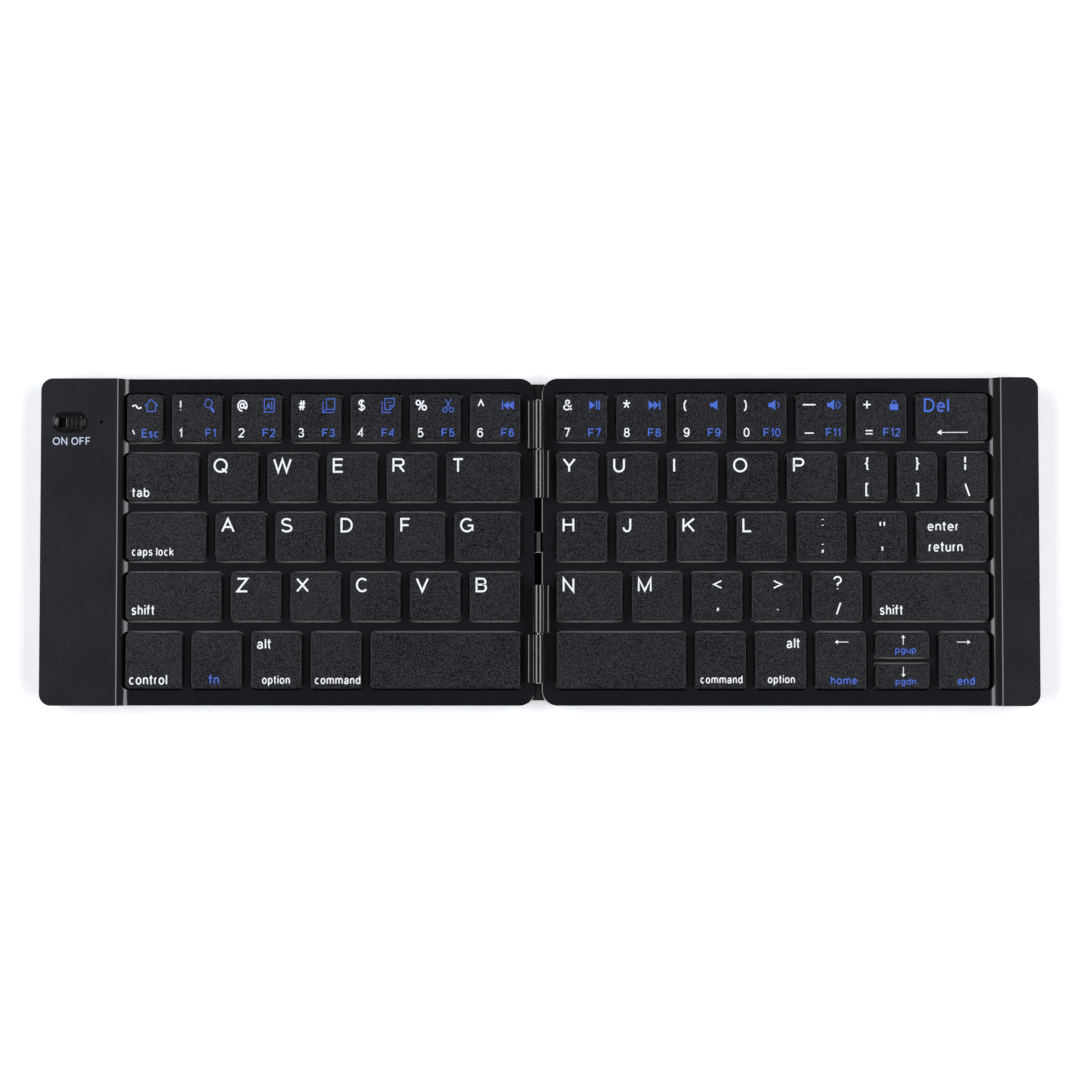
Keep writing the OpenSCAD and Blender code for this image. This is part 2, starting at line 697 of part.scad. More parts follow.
// The sloping dish round the power knob, and the slot in its floor
module dish() {
    top_r = dish_w / 2;
    low_r = slot_w / 2 + dish_ledge;
    side_u = dish_l / 2 - top_r;
    for (side = [-1, 1]) translate([switch_u + side * side_u, switch_y, dish_z])
        cylinder(r1 = low_r, r2 = top_r, h = dish_depth);
    translate([0, switch_y, 0]) along_u(switch_u - side_u, switch_u + side_u)
        polygon([[-low_r, dish_z], [low_r, dish_z], [top_r, wing_z], [-top_r, wing_z]]);
    block([switch_u - slot_l / 2, switch_y - slot_w / 2, dish_under_z - eps],
        [switch_u + slot_l / 2, switch_y + slot_w / 2, wing_z]);
}

// ---- Keys ----

module key_cap(cap) {
    w = cap[3] / 2;
    d = cap[4] / 2;
    difference() {
        intersection() {
            translate([0, 0, skirt_z]) linear_extrude(cap_h) cap_outline(cap, 0);
            translate([cap[1], 0, 0]) along_y(cap[2] - d - past, cap[2] + d + past) bevelled(w);
            translate([0, cap[2], 0]) along_u(cap[1] - w - past, cap[1] + w + past) bevelled(d);
        }
        translate([0, 0, skirt_z - eps]) linear_extrude(cap_under_z - skirt_z + eps)
            cap_outline(cap, -skirt_t);
    }
}

// The section of a key cap, with its two top edges bevelled
module bevelled(half_width) {
    in = half_width - cap_bevel;
    polygon([
        [-half_width, skirt_z], [half_width, skirt_z], [half_width, key_top_z - cap_bevel],
        [in, key_top_z], [-in, key_top_z], [-half_width, key_top_z - cap_bevel],
    ]);
}

// All the caps of one half that belong to one node
module keys(half, name) {
    color(cap_colour) place(half)
        for (cap = caps_of(half)) if (cap[0] == name) key_cap(cap);
}

// ---- Key mechanism ----

// The outline shared by the sheets under the keys
module sheet(half, z, t) {
    block([sheet_start_u, keys_front_y, z], [keys_end_u(half), keys_back_y, z + t]);
}

module support_plate(half) {
    color(steel_colour) place(half) sheet(half, plate_z, plate_t);
}

module membrane(half) {
    color(film_colour) place(half) {
        sheet(half, membrane_z, membrane_t);
        if (half == LEFT) board_tail();
        else folded_tail();
    }
}

// The tongue of the left membrane that lies on the main board
module board_tail() {
    block([keys_end_u(LEFT) - eps, tail_ys[0], membrane_z],
        [board_u + 2 * rib_w, tail_ys[1], membrane_z + membrane_t]);
}

// The tongue of the right membrane that folds under its plate to meet the flexible cable
module folded_tail() {
    fold_u = sheet_start_u - membrane_t - sheet_gap;
    along_y(-flex_w / 2, flex_w / 2) {
        translate([fold_u, membrane_z]) square([sheet_start_u - fold_u + eps, membrane_t]);
        translate([fold_u, over_flex_z]) square([membrane_t, membrane_z + membrane_t - over_flex_z]);
        translate([fold_u, over_flex_z]) square([flex_reach - fold_u, membrane_t]);
    }
}

module dome_sheet(half) {
    color(dome_colour) place(half) difference() {
        union() {
            sheet(half, dome_sheet_z, dome_sheet_t);
            for (cap = caps_of(half)) dome(cap, 0);
        }
        for (cap = caps_of(half)) dome(cap, dome_wall);
    }
}

// A dome's outside or, drawn in by its wall, its inside, which is open below
module dome(cap, inset) {
    room = min(cap[3], cap[4]) / 2 - skirt_t - dome_gap;
    foot_r = min(dome_foot_r, room) - inset;
    top_z = cap_under_z - sheet_gap - inset;
    translate([cap[1], cap[2], dome_sheet_z - (inset > 0 ? eps : 0)])
        cylinder(r1 = foot_r, r2 = foot_r - dome_draw + inset / 2, h = top_z - dome_sheet_z);
}

module scissor_links(half) {
    color(link_colour) place(half)
        for (cap = caps_of(half))
            if (min(cap[3], cap[4]) - 2 * skirt_t > link_span_w + 2 * sheet_gap)
                translate([cap[1], cap[2], (low_bar_z + high_bar_z) / 2]) {
                    link(link_span_w, link_tilt);
                    link(link_span_w - 2 * link_arm_w - 2 * link_gap, -link_tilt);
                }
}

// One link: two arms and the cross bars at their ends
module link(w, tilt) {
    end = link_l / 2 + link_t / 2;
    rotate([tilt, 0, 0]) difference() {
        block([-w / 2, -end, -link_t / 2], [w / 2, end, link_t / 2]);
        block([-w / 2 + link_arm_w, -end + link_t, -link_t], [w / 2 - link_arm_w, end - link_t, link_t]);
    }
}

// ---- Hinges ----

module hinge_leaves(half) {
    ys = leaf_ys(half);
    clearance = half == LEFT ? pin_seat : pin_run;
    color(hinge_colour) place(half) difference() {
        for (side = [0, 1]) mirror([0, side, 0]) along_y(ys[0], ys[1]) leaf_section(pin_r + clearance);
        at_each(leaf_screws(half)) translate([0, 0, floor_z - eps])
            cylinder(r = screw_r + thread_gap, h = leaf_t + 2 * eps);
    }
}

// A leaf's plate, upright, shoulder and knuckle
module leaf_section(bore_r) {
    shoulder_top = axis_z + shoulder_h;
    difference() {
        union() {
            translate([edge_u, floor_z]) square([leaf_l, leaf_t]);
            translate([edge_u, floor_z]) square([riser_t, axis_z - floor_z]);
            translate([0, axis_z - knuckle_r]) square([riser_u, knuckle_r]);
            translate([0, axis_z - eps]) square([riser_u - shoulder_h, shoulder_h + eps]);
            translate([riser_u - shoulder_h, axis_z]) circle(shoulder_h);
            translate([0, axis_z]) circle(knuckle_r);
        }
        translate([0, axis_z]) circle(bore_r);
    }
}

module hinge_pins() {
    outer_end = hinge_from_middle + hinge_l / 2;
    color(steel_colour) for (side = [0, 1]) mirror([0, side, 0]) {
        along_y(hinge_from_middle - hinge_l / 2, outer_end + eps) translate([0, axis_z]) circle(pin_r);
        along_y(outer_end + eps, outer_end + eps + pin_head_h) translate([0, axis_z]) circle(pin_head_r);
    }
}

// ---- Between the halves ----

module gap_seals() {
    inner_y = hinge_from_middle - hinge_l / 2;
    right_x = edge_u - seal_gap;
    color(seal_colour) for (side = [0, 1]) mirror([0, side, 0]) {
        block([-edge_u, inner_y, floor_z], [right_x, back_y - seal_inset, floor_z + seal_h]);
        block([-edge_u, flex_w / 2 + flex_gap, floor_z], [right_x, inner_y + eps, floor_z + seal_low_h]);
    }
}

// The cable runs along both tray floors, and rises in a loop between the halves
module flex_cable() {
    loop_r = edge_u - seal_gap;
    loop_z = floor_z + flex_loop_h - loop_r;
    color(seal_colour) along_y(-flex_w / 2, flex_w / 2) {
        translate([-(board_u + 2 * rib_w), flex_z]) square([board_u + 2 * rib_w - loop_r + flex_t, flex_t]);
        translate([loop_r - flex_t, flex_z]) square([flex_reach - loop_r + flex_t, flex_t]);
        for (side = [-1, 1]) translate([side * (loop_r - flex_t / 2) - flex_t / 2, flex_z])
            square([flex_t, loop_z - flex_z]);
        difference() {
            translate([0, loop_z]) circle(loop_r);
            translate([0, loop_z]) circle(loop_r - flex_t);
            translate([-loop_r, loop_z - loop_r]) square([2 * loop_r, loop_r]);
        }
    }
}

// ---- Screws and feet ----

module screws(half) {
    color(steel_colour) place(half) {
        at_each(case_screws(half)) screw(seam_z + thread_l);
        at_each(leaf_screws(half)) screw(floor_z + leaf_t - sheet_gap);
    }
}

// One screw, with its head sunk into the tray's underside
module screw(tip_z) {
    translate([0, 0, tray_z + head_sink]) cylinder(r = head_r, h = head_h - eps);
    translate([0, 0, tray_z + head_sink]) cylinder(r = screw_r, h = tip_z - tray_z - head_sink);
}

module rubber_feet(half) {
    color(rubber_colour) place(half) at_each(feet)
        cylinder(r = foot_r - sheet_gap, h = foot_proud + foot_sink);
}

// ---- Electronics in the left wing ----

module battery() {
    color(battery_colour) place(LEFT) translate([0, 0, floor_z + battery_gap / 4]) linear_extrude(battery_t)
        rounded(chamber_u + battery_gap, outer_u - wall_t - battery_gap,
            front_y + wall_t + 2 * boss_r + battery_gap, board_front_y - 2 * battery_gap,
            [for (i = [0 : 3]) battery_r]);
}

module main_board() {
    color(board_colour) place(LEFT) {
        block([board_u, board_front_y, board_z], [board_end_u, board_back_y, board_top_z]);
        switch_body();
        controller();
        block([light_u - light_w / 2, switch_y - light_w / 2, board_top_z - eps],
            [light_u + light_w / 2, switch_y + light_w / 2, board_top_z + light_h]);
    }
}

// The body of the slide switch, with the groove that the knob's nib moves in
module switch_body() {
    difference() {
        block([switch_u - switch_l / 2, switch_y - switch_w / 2, board_top_z - eps],
            [switch_u + switch_l / 2, switch_y + switch_w / 2, switch_top_z]);
        block([switch_u - groove_l / 2, switch_y - groove_w / 2, switch_top_z - nib_depth - knob_gap],
            [switch_u + groove_l / 2, switch_y + groove_w / 2, switch_top_z + eps]);
    }
}

// The controller chip and its crystal
module controller() {
    chip_u = board_end_u - 1.5 * chip_w;
    chip_y = (tail_ys[0] + tail_ys[1]) / 2;
    crystal_y = board_front_y + board_gap;
    block([chip_u, chip_y - chip_w / 2, board_top_z - eps],
        [chip_u + chip_w, chip_y + chip_w / 2, board_top_z + chip_h]);
    block([chip_u, crystal_y, board_top_z - eps],
        [chip_u + chip_w, crystal_y + crystal_w, board_top_z + chip_h]);
}

module usb_socket() {
    mouth_u = outer_u - usb_gap;
    back_u = mouth_u - usb_l;
    in = usb_wall;
    color(steel_colour) place(LEFT) translate([0, usb_y, usb_z]) {
        difference() {
            along_u(back_u, mouth_u) usb_section(usb_w, usb_h);
            along_u(back_u + in, mouth_u + eps) usb_section(usb_w - 2 * in, usb_h - 2 * in);
        }
        block([back_u, -usb_w / 4, -in], [mouth_u - usb_tongue_in, usb_w / 4, in]);
    }
}

// The socket's section, narrower at its underside
module usb_section(w, h) {
    slant = h / 4;
    translate([0, sheet_gap / 2]) polygon([
        [-w / 2 + slant, -h / 2], [w / 2 - slant, -h / 2], [w / 2, -h / 2 + slant], [w / 2, h / 2],
        [-w / 2, h / 2], [-w / 2, -h / 2 + slant],
    ]);
}

module power_slider() {
    pitch = knob_l / ridges;
    color(cap_colour) place(LEFT) translate([knob_u, switch_y, 0]) {
        block([-carrier_l / 2, -carrier_w / 2, carrier_z],
            [carrier_l / 2, carrier_w / 2, carrier_z + carrier_t]);
        block([-knob_l / 2, -knob_w / 2, carrier_z], [knob_l / 2, knob_w / 2, knob_top_z - ridge_h]);
        block([-nib_w / 2, -nib_w / 2, switch_top_z - nib_depth], [nib_w / 2, nib_w / 2, carrier_z + eps]);
        for (i = [0 : ridges - 1]) translate([(i + 0.5) * pitch - knob_l / 2, 0, 0])
            block([-ridge_w / 2, -knob_w / 2, knob_top_z - ridge_h - eps],
                [ridge_w / 2, knob_w / 2, knob_top_z]);
    }
}

// ---- Assembly ----

base_tray(LEFT);  // left_base_tray
key_frame(LEFT);  // left_key_frame
end_cover(LEFT);  // left_end_cover
support_plate(LEFT);  // left_support_plate
membrane(LEFT);  // left_membrane
dome_sheet(LEFT);  // left_dome_sheet
scissor_links(LEFT);  // left_scissor_links
screws(LEFT);  // left_screws
rubber_feet(LEFT);  // left_feet
hinge_leaves(LEFT);  // left_hinge_leaves
hinge_pins();
gap_seals();
flex_cable();
battery();
main_board();
usb_socket();
power_slider();
base_tray(RIGHT);  // right_base_tray
key_frame(RIGHT);  // right_key_frame
end_cover(RIGHT);  // right_end_cover
support_plate(RIGHT);  // right_support_plate
membrane(RIGHT);  // right_membrane
dome_sheet(RIGHT);  // right_dome_sheet
scissor_links(RIGHT);  // right_scissor_links
screws(RIGHT);  // right_screws
rubber_feet(RIGHT);  // right_feet
hinge_leaves(RIGHT);  // right_hinge_leaves
for (name = LEFT_GROUPS) keys(LEFT, name);
for (name = RIGHT_GROUPS) keys(RIGHT, name);
for (name = LETTERS) union() {
    keys(LEFT, name);
    keys(RIGHT, name);
}
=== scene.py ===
"""Folding keyboard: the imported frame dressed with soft-edged shells, finished keys with printed legends,
hinges, seals and procedural materials, on a pale floor under soft studio light."""
import json
import math

import bmesh
import bpy
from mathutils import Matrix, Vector

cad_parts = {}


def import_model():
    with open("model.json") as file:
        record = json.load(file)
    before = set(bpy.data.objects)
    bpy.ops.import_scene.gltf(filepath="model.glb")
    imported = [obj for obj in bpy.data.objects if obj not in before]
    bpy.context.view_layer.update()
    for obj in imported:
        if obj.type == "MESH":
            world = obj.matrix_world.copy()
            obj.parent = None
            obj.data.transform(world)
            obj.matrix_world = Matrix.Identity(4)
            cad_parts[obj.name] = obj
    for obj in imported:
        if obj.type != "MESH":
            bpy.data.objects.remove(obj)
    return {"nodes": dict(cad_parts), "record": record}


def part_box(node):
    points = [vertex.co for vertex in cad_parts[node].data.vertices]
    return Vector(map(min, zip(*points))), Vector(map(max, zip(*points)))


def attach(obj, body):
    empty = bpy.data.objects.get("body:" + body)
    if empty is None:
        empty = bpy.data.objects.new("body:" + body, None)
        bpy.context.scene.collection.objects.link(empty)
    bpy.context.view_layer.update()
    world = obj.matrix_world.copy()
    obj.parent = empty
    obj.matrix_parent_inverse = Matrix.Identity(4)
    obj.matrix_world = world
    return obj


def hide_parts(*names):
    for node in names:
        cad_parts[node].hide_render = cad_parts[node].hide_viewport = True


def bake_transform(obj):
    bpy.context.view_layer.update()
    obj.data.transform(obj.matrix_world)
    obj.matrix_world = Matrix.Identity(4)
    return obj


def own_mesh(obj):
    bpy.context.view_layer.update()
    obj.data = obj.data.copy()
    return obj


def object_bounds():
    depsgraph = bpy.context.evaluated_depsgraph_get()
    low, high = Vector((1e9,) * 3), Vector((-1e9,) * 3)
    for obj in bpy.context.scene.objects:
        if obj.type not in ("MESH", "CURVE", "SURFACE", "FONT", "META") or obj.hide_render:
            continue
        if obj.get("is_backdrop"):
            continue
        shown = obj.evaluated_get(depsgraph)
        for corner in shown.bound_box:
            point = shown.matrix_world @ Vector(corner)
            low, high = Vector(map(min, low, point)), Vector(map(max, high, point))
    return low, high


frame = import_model()
cad_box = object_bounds()

MM = 0.001

# ---- Materials ----


class Nodes:
    """A material's node tree, with short ways to add and link nodes."""

    def __init__(self, name):
        self.material = bpy.data.materials.new(name)
        self.material.use_nodes = True
        self.tree = self.material.node_tree
        self.shader = self.tree.nodes["Principled BSDF"]

    def link(self, out_socket, in_socket):
        self.tree.links.new(out_socket, in_socket)

    def put(self, name, value):
        """Gives an input of the shader a value or the output of another node."""
        if isinstance(value, bpy.types.NodeSocket):
            self.link(value, self.shader.inputs[name])
        else:
            self.shader.inputs[name].default_value = value

    def noise(self, size, detail, stretch=(1, 1, 1)):
        """Noise whose blotches are about size metres across."""
        place = self.tree.nodes.new("ShaderNodeTexCoord")
        mapping = self.tree.nodes.new("ShaderNodeMapping")
        mapping.inputs["Scale"].default_value = [s / size for s in stretch]
        self.link(place.outputs["Object"], mapping.inputs["Vector"])
        node = self.tree.nodes.new("ShaderNodeTexNoise")
        node.inputs["Scale"].default_value = 1
        node.inputs["Detail"].default_value = detail
        self.link(mapping.outputs["Vector"], node.inputs["Vector"])
        return node.outputs["Fac"]

    def spread(self, value, low, high, from_low=0.3, from_high=0.7):
        """Maps a value to a range. Most of a noise lies between 0.3 and 0.7."""
        node = self.tree.nodes.new("ShaderNodeMapRange")
        node.inputs["From Min"].default_value = from_low
        node.inputs["From Max"].default_value = from_high
        node.inputs["To Min"].default_value = low
        node.inputs["To Max"].default_value = high
        self.link(value, node.inputs["Value"])
        return node.outputs["Result"]

    def blend(self, factor, first, second):
        """A colour between two, by factor."""
        node = self.tree.nodes.new("ShaderNodeMix")
        node.data_type = "RGBA"
        self.link(factor, node.inputs["Factor"])
        first_in, second_in, mixed = node.inputs[6], node.inputs[7], node.outputs[2]  # those for colours
        for socket, colour in ((first_in, first), (second_in, second)):
            if isinstance(colour, tuple):
                socket.default_value = (*colour, 1)
            else:
                self.link(colour, socket)
        return mixed

    def bump(self, height, strength, distance):
        """Lets a height shape the surface."""
        node = self.tree.nodes.new("ShaderNodeBump")
        node.inputs["Strength"].default_value = strength
        node.inputs["Distance"].default_value = distance
        self.link(height, node.inputs["Height"])
        self.put("Normal", node.outputs["Normal"])


PATCH_SIZE = 12 * MM  # of the faint patches in a plastic
PATCH_SHARE = 0.2  # of its lighter colour in them
PLASTIC_SPREAD = 0.02  # of its roughness, either way
GRAIN_BUMP = 0.5
MARK_SIZE = 0.12 * MM  # of the drawn or brushed marks in a metal
MARK_SHADE = 0.8
METAL_SPREAD = 0.04
MARK_BUMP, MARK_DEPTH = 0.4, 0.002 * MM


def plastic(name, dark, light, grain, roughness, depth=0.006 * MM, specular=0.5, contrast=0.2):
    """Moulded plastic, rubber or ink: a fine grain in its colour and its surface, and faint large patches."""
    nodes = Nodes(name)
    fine = nodes.noise(grain, 3)
    wide = nodes.noise(PATCH_SIZE, 2)
    grained = nodes.blend(nodes.spread(fine, 0, 1, 0.5 - contrast, 0.5 + contrast), dark, light)
    worn = nodes.blend(nodes.spread(wide, 0, PATCH_SHARE), grained, light)
    nodes.put("Base Color", worn)
    nodes.put("Roughness", nodes.spread(wide, roughness - PLASTIC_SPREAD, roughness + PLASTIC_SPREAD))
    nodes.put("Specular IOR Level", specular)
    nodes.bump(fine, GRAIN_BUMP, depth)
    return nodes.material


def metal(name, colour, roughness, stretch=(1, 1, 1), metallic=1.0, specular=0.5):
    """Metal or paint on metal, with fine drawn or brushed marks."""
    nodes = Nodes(name)
    marks = nodes.noise(MARK_SIZE, 2, stretch)
    darker = tuple(MARK_SHADE * c for c in colour)
    nodes.put("Base Color", nodes.blend(nodes.spread(marks, 0, 1), darker, colour))
    nodes.put("Roughness", nodes.spread(marks, roughness - METAL_SPREAD, roughness + METAL_SPREAD))
    nodes.put("Metallic", metallic)
    nodes.put("Specular IOR Level", specular)
    nodes.bump(marks, MARK_BUMP, MARK_DEPTH)
    return nodes.material


MATERIALS = {
    "shell": plastic("satin_black_plastic", (0.007, 0.007, 0.0088), (0.0132, 0.0132, 0.0154), 0.5 * MM, 0.14,
                     0.003 * MM, 0.6),
    "wing": plastic("grained_black_plastic", (0.0125, 0.0125, 0.015), (0.0235, 0.0235, 0.027), 0.4 * MM, 0.2,
                    0.004 * MM),
    "cap": plastic("key_plastic", (0, 0, 0.0003), (0.038, 0.038, 0.043), 0.34 * MM, 0.36, 0.008 * MM, 0.2,
                   contrast=0.07),
    "knob": plastic("knob_plastic", (0.003, 0.003, 0.004), (0.006, 0.006, 0.0075), 0.2 * MM, 0.22),
    # Painted shade: a near-black plastic for the plate deep under the switch's slot
    "well": plastic("shadowed_plastic", (0.0008, 0.0008, 0.001), (0.0016, 0.0016, 0.002), 0.5 * MM, 0.6,
                    specular=0.05),
    "hinge": metal("black_hinge_paint", (0.006, 0.006, 0.0068), 0.2, (1, 0.03, 1), metallic=0.0,
                   specular=0.9),
    "screw": metal("dark_steel", (0.22, 0.215, 0.21), 0.25),
    "plate": metal("stamped_steel", (0.5, 0.51, 0.52), 0.35, (1, 0.1, 1)),
    "socket": metal("folded_steel", (0.6, 0.6, 0.61), 0.22, (1, 0.2, 1)),
    "foot": plastic("foot_rubber", (0.008, 0.008, 0.008), (0.014, 0.014, 0.014), 0.15 * MM, 0.75, 0.02 * MM),
    "seal": plastic("seal_rubber", (0.008, 0.0064, 0.0053), (0.024, 0.0195, 0.016), 0.8 * MM, 0.5,
                    specular=0.15),
    "cable": plastic("cable_film", (0.012, 0.0105, 0.009), (0.02, 0.018, 0.0155), 0.5 * MM, 0.5),
    "film": plastic("printed_film", (0.45, 0.5, 0.42), (0.6, 0.66, 0.56), 2 * MM, 0.3),
    "dome": plastic("silicone_rubber", (0.62, 0.62, 0.58), (0.72, 0.72, 0.68), 1 * MM, 0.45),
    "link": plastic("link_acetal", (0.6, 0.6, 0.57), (0.66, 0.66, 0.63), 0.8 * MM, 0.4),
    "board": plastic("circuit_board", (0.004, 0.06, 0.018), (0.008, 0.1, 0.03), 0.6 * MM, 0.3),
    "battery": metal("foil_pouch", (0.55, 0.56, 0.58), 0.38),
}
INKS = [plastic(*ink, 0.3 * MM, 0.5, 0.002 * MM) for ink in (
    ("white_ink", (0.84, 0.85, 0.87), (0.95, 0.96, 0.98)),
    ("blue_ink", (0.045, 0.115, 0.56), (0.075, 0.175, 0.72)),
    ("pale_blue_ink", (0.52, 0.6, 0.78), (0.64, 0.72, 0.9)))]

# ---- Mesh helpers ----

SMOOTH = 35  # degrees: folds beyond this show as edges
CREASE = 25  # degrees: folds beyond this are rounded on a shell
LEAST_R = 0.08 * MM
CORNER_STEPS = 6


def material_of(node):
    """The record's material slot of a CAD node."""
    return next(s["material_slot"] for s in frame["record"]["subparts"] if s["node"] == node)


def body_of(node):
    """The body that a CAD node is on."""
    return next(body for body, nodes in frame["record"]["behaviour"]["bodies"].items() if node in nodes)


def add_object(name, data):
    """Puts a mesh, light or camera into the scene."""
    obj = bpy.data.objects.new(name, data)
    bpy.context.scene.collection.objects.link(obj)
    return obj


def keep_flat(obj):
    """Keeps flat faces looking flat beside rounded edges."""
    modifier = obj.modifiers.new("even", "WEIGHTED_NORMAL")
    modifier.keep_sharp = True


def piece(name, bm, body, slot, *stands_for, materials=None, smooth=SMOOTH):
    """Makes an object of bm that rides on a body, and stands for some CAD nodes or none."""
    mesh = bpy.data.meshes.new(name)
    bmesh.ops.recalc_face_normals(bm, faces=bm.faces)
    bm.to_mesh(mesh)
    bm.free()
    for material in materials or [MATERIALS[slot]]:
        mesh.materials.append(material)
    mesh.shade_smooth()
    mesh.set_sharp_from_angle(angle=math.radians(smooth))
    obj = add_object(name, mesh)
    if body:
        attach(obj, body)
    if stands_for:
        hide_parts(*stands_for)
    return obj


def bevelled(obj, width, segments, **limit):
    """Rounds an object's edges with a modifier."""
    bevel = obj.modifiers.new("edges", "BEVEL")
    bevel.width = width
    bevel.segments = segments
    for key, value in limit.items():
        setattr(bevel, key, value)
    keep_flat(obj)


def cad_mesh(node):
    """A welded copy of a CAD node's mesh."""
    bm = bmesh.new()
    bm.from_mesh(frame["nodes"][node].data)
    bmesh.ops.remove_doubles(bm, verts=bm.verts, dist=0.002 * MM)
    return bm


def solids(bm):
    """The vertices of each separate solid."""
    seen = set()
    found = []
    for first in bm.verts:
        if first not in seen:
            seen.add(first)
            found.append([first])
            for vert in found[-1]:
                new = [v for v in (edge.other_vert(vert) for edge in vert.link_edges) if v not in seen]
                seen.update(new)
                found[-1] += new
    return found


def box_of(verts):
    """The low and high corners round some vertices."""
    return tuple(tuple(pick(v.co[i] for v in verts) for i in range(3)) for pick in (min, max))


def boxes_of(node):
    """The corners of each separate solid of a CAD node."""
    bm = cad_mesh(node)
    found = [box_of(verts) for verts in solids(bm)]
    bm.free()
    return found


def arc(cx, cy, radius, start, end, steps):
    """Points on a circle, from one angle in degrees to another."""
    turns = [math.radians(start + (end - start) * i / steps) for i in range(steps + 1)]
    return [(cx + radius * math.cos(turn), cy + radius * math.sin(turn)) for turn in turns]


def ring(low, high, radii, inset, z):
    """A rounded rectangle's points, counter-clockwise from above, from its front left corner."""
    x0, y0, x1, y1 = low[0] + inset, low[1] + inset, high[0] - inset, high[1] - inset
    r = [max(radius - inset, LEAST_R) for radius in radii]
    centres = (x0 + r[0], y0 + r[0]), (x1 - r[1], y0 + r[1]), (x1 - r[2], y1 - r[2]), (x0 + r[3], y1 - r[3])
    points = []
    for centre, radius, start in zip(centres, r, (180, 270, 0, 90)):
        points += arc(*centre, radius, start, start + 90, CORNER_STEPS)
    return [(x, y, z) for x, y in points]


def circle(cx, cy, radius, z, steps=32):
    """A circle's points at some height."""
    return [(x, y, z) for x, y in arc(cx, cy, radius, 0, 360, steps)[:-1]]


def skin(bm, rows):
    """Joins rings of vertices."""
    for lower, upper in zip(rows, rows[1:]):
        for i, vert in enumerate(lower):
            j = (i + 1) % len(lower)
            bm.faces.new((vert, lower[j], upper[j], upper[i]))


def loft(bm, rings):
    """Joins rings of as many points each into a solid."""
    rows = [[bm.verts.new(point) for point in points] for points in rings]
    skin(bm, rows)
    bm.faces.new(rows[0])
    bm.faces.new(rows[-1])


def fill(bm, *loops):
    """Fills the space inside the first loop of vertices and outside the others."""
    edges = []
    for loop in loops:
        edges += [bm.edges.get((a, b)) or bm.edges.new((a, b)) for a, b in zip(loop, loop[1:] + loop[:1])]
    bmesh.ops.triangle_fill(bm, use_beauty=True, edges=edges)


def merge_flat(bm, within=1.0):
    """Joins faces that lie in one plane, within some degrees."""
    bmesh.ops.dissolve_limit(bm, angle_limit=math.radians(within), verts=bm.verts, edges=bm.edges)


def without(bm, cutter):
    """What is left of one solid when another is cut from it."""
    objects = []
    for source in (bm, cutter):
        bmesh.ops.recalc_face_normals(source, faces=source.faces)
        mesh = bpy.data.meshes.new("cut")
        source.to_mesh(mesh)
        source.free()
        objects.append(add_object("cut", mesh))
    cut = objects[0].modifiers.new("cut", "BOOLEAN")
    cut.operation = "DIFFERENCE"
    cut.object = objects[1]
    cut.solver = "MANIFOLD"
    left = bmesh.new()
    left.from_object(objects[0], bpy.context.evaluated_depsgraph_get())
    for obj in objects:
        bpy.data.meshes.remove(obj.data)
    return left


def rounded(name, node, width_at, shape=lambda bm: bm, other=lambda face: False, other_material=None):
    """A copy of a CAD node, changed by shape, with its convex edges rounded, each by the width that width_at
    gives for its middle and for the normals of its two faces. The faces that other picks have another
    material."""
    bm = shape(cad_mesh(node))
    merge_flat(bm)
    weight = bm.edges.layers.float.new("bevel_weight_edge")
    widths = {}
    for edge in bm.edges:
        if len(edge.link_faces) == 2 and edge.calc_face_angle_signed(0) > math.radians(CREASE):
            middle = (edge.verts[0].co + edge.verts[1].co) / 2
            widths[edge] = width_at(middle, *[face.normal for face in edge.link_faces])
    widest = max(widths.values())
    for edge, width in widths.items():
        edge[weight] = width / widest
    materials = [MATERIALS[material_of(node)]]
    if other_material:
        materials.append(MATERIALS[other_material])
        for face in filter(other, bm.faces):
            face.material_index = 1
    obj = piece(name, bm, body_of(node), material_of(node), node, materials=materials, smooth=CREASE)
    bevelled(obj, widest, 3, limit_method="WEIGHT")


# ---- Ink ----

INK_T = 0.02 * MM
INK_SINK = 0.006 * MM
LAYER = 0.0004 * MM  # each stroke lies this much higher than the one before
INK_WEIGHT = 0.135  # the thickness of a stroke, for a capital 1 high
MITRE_LIMIT = 0.35
ARC_STEP = 18  # degrees
SAME = 0.001  # points nearer than this are one
WHITE, BLUE, PALE = range(3)  # places in INKS

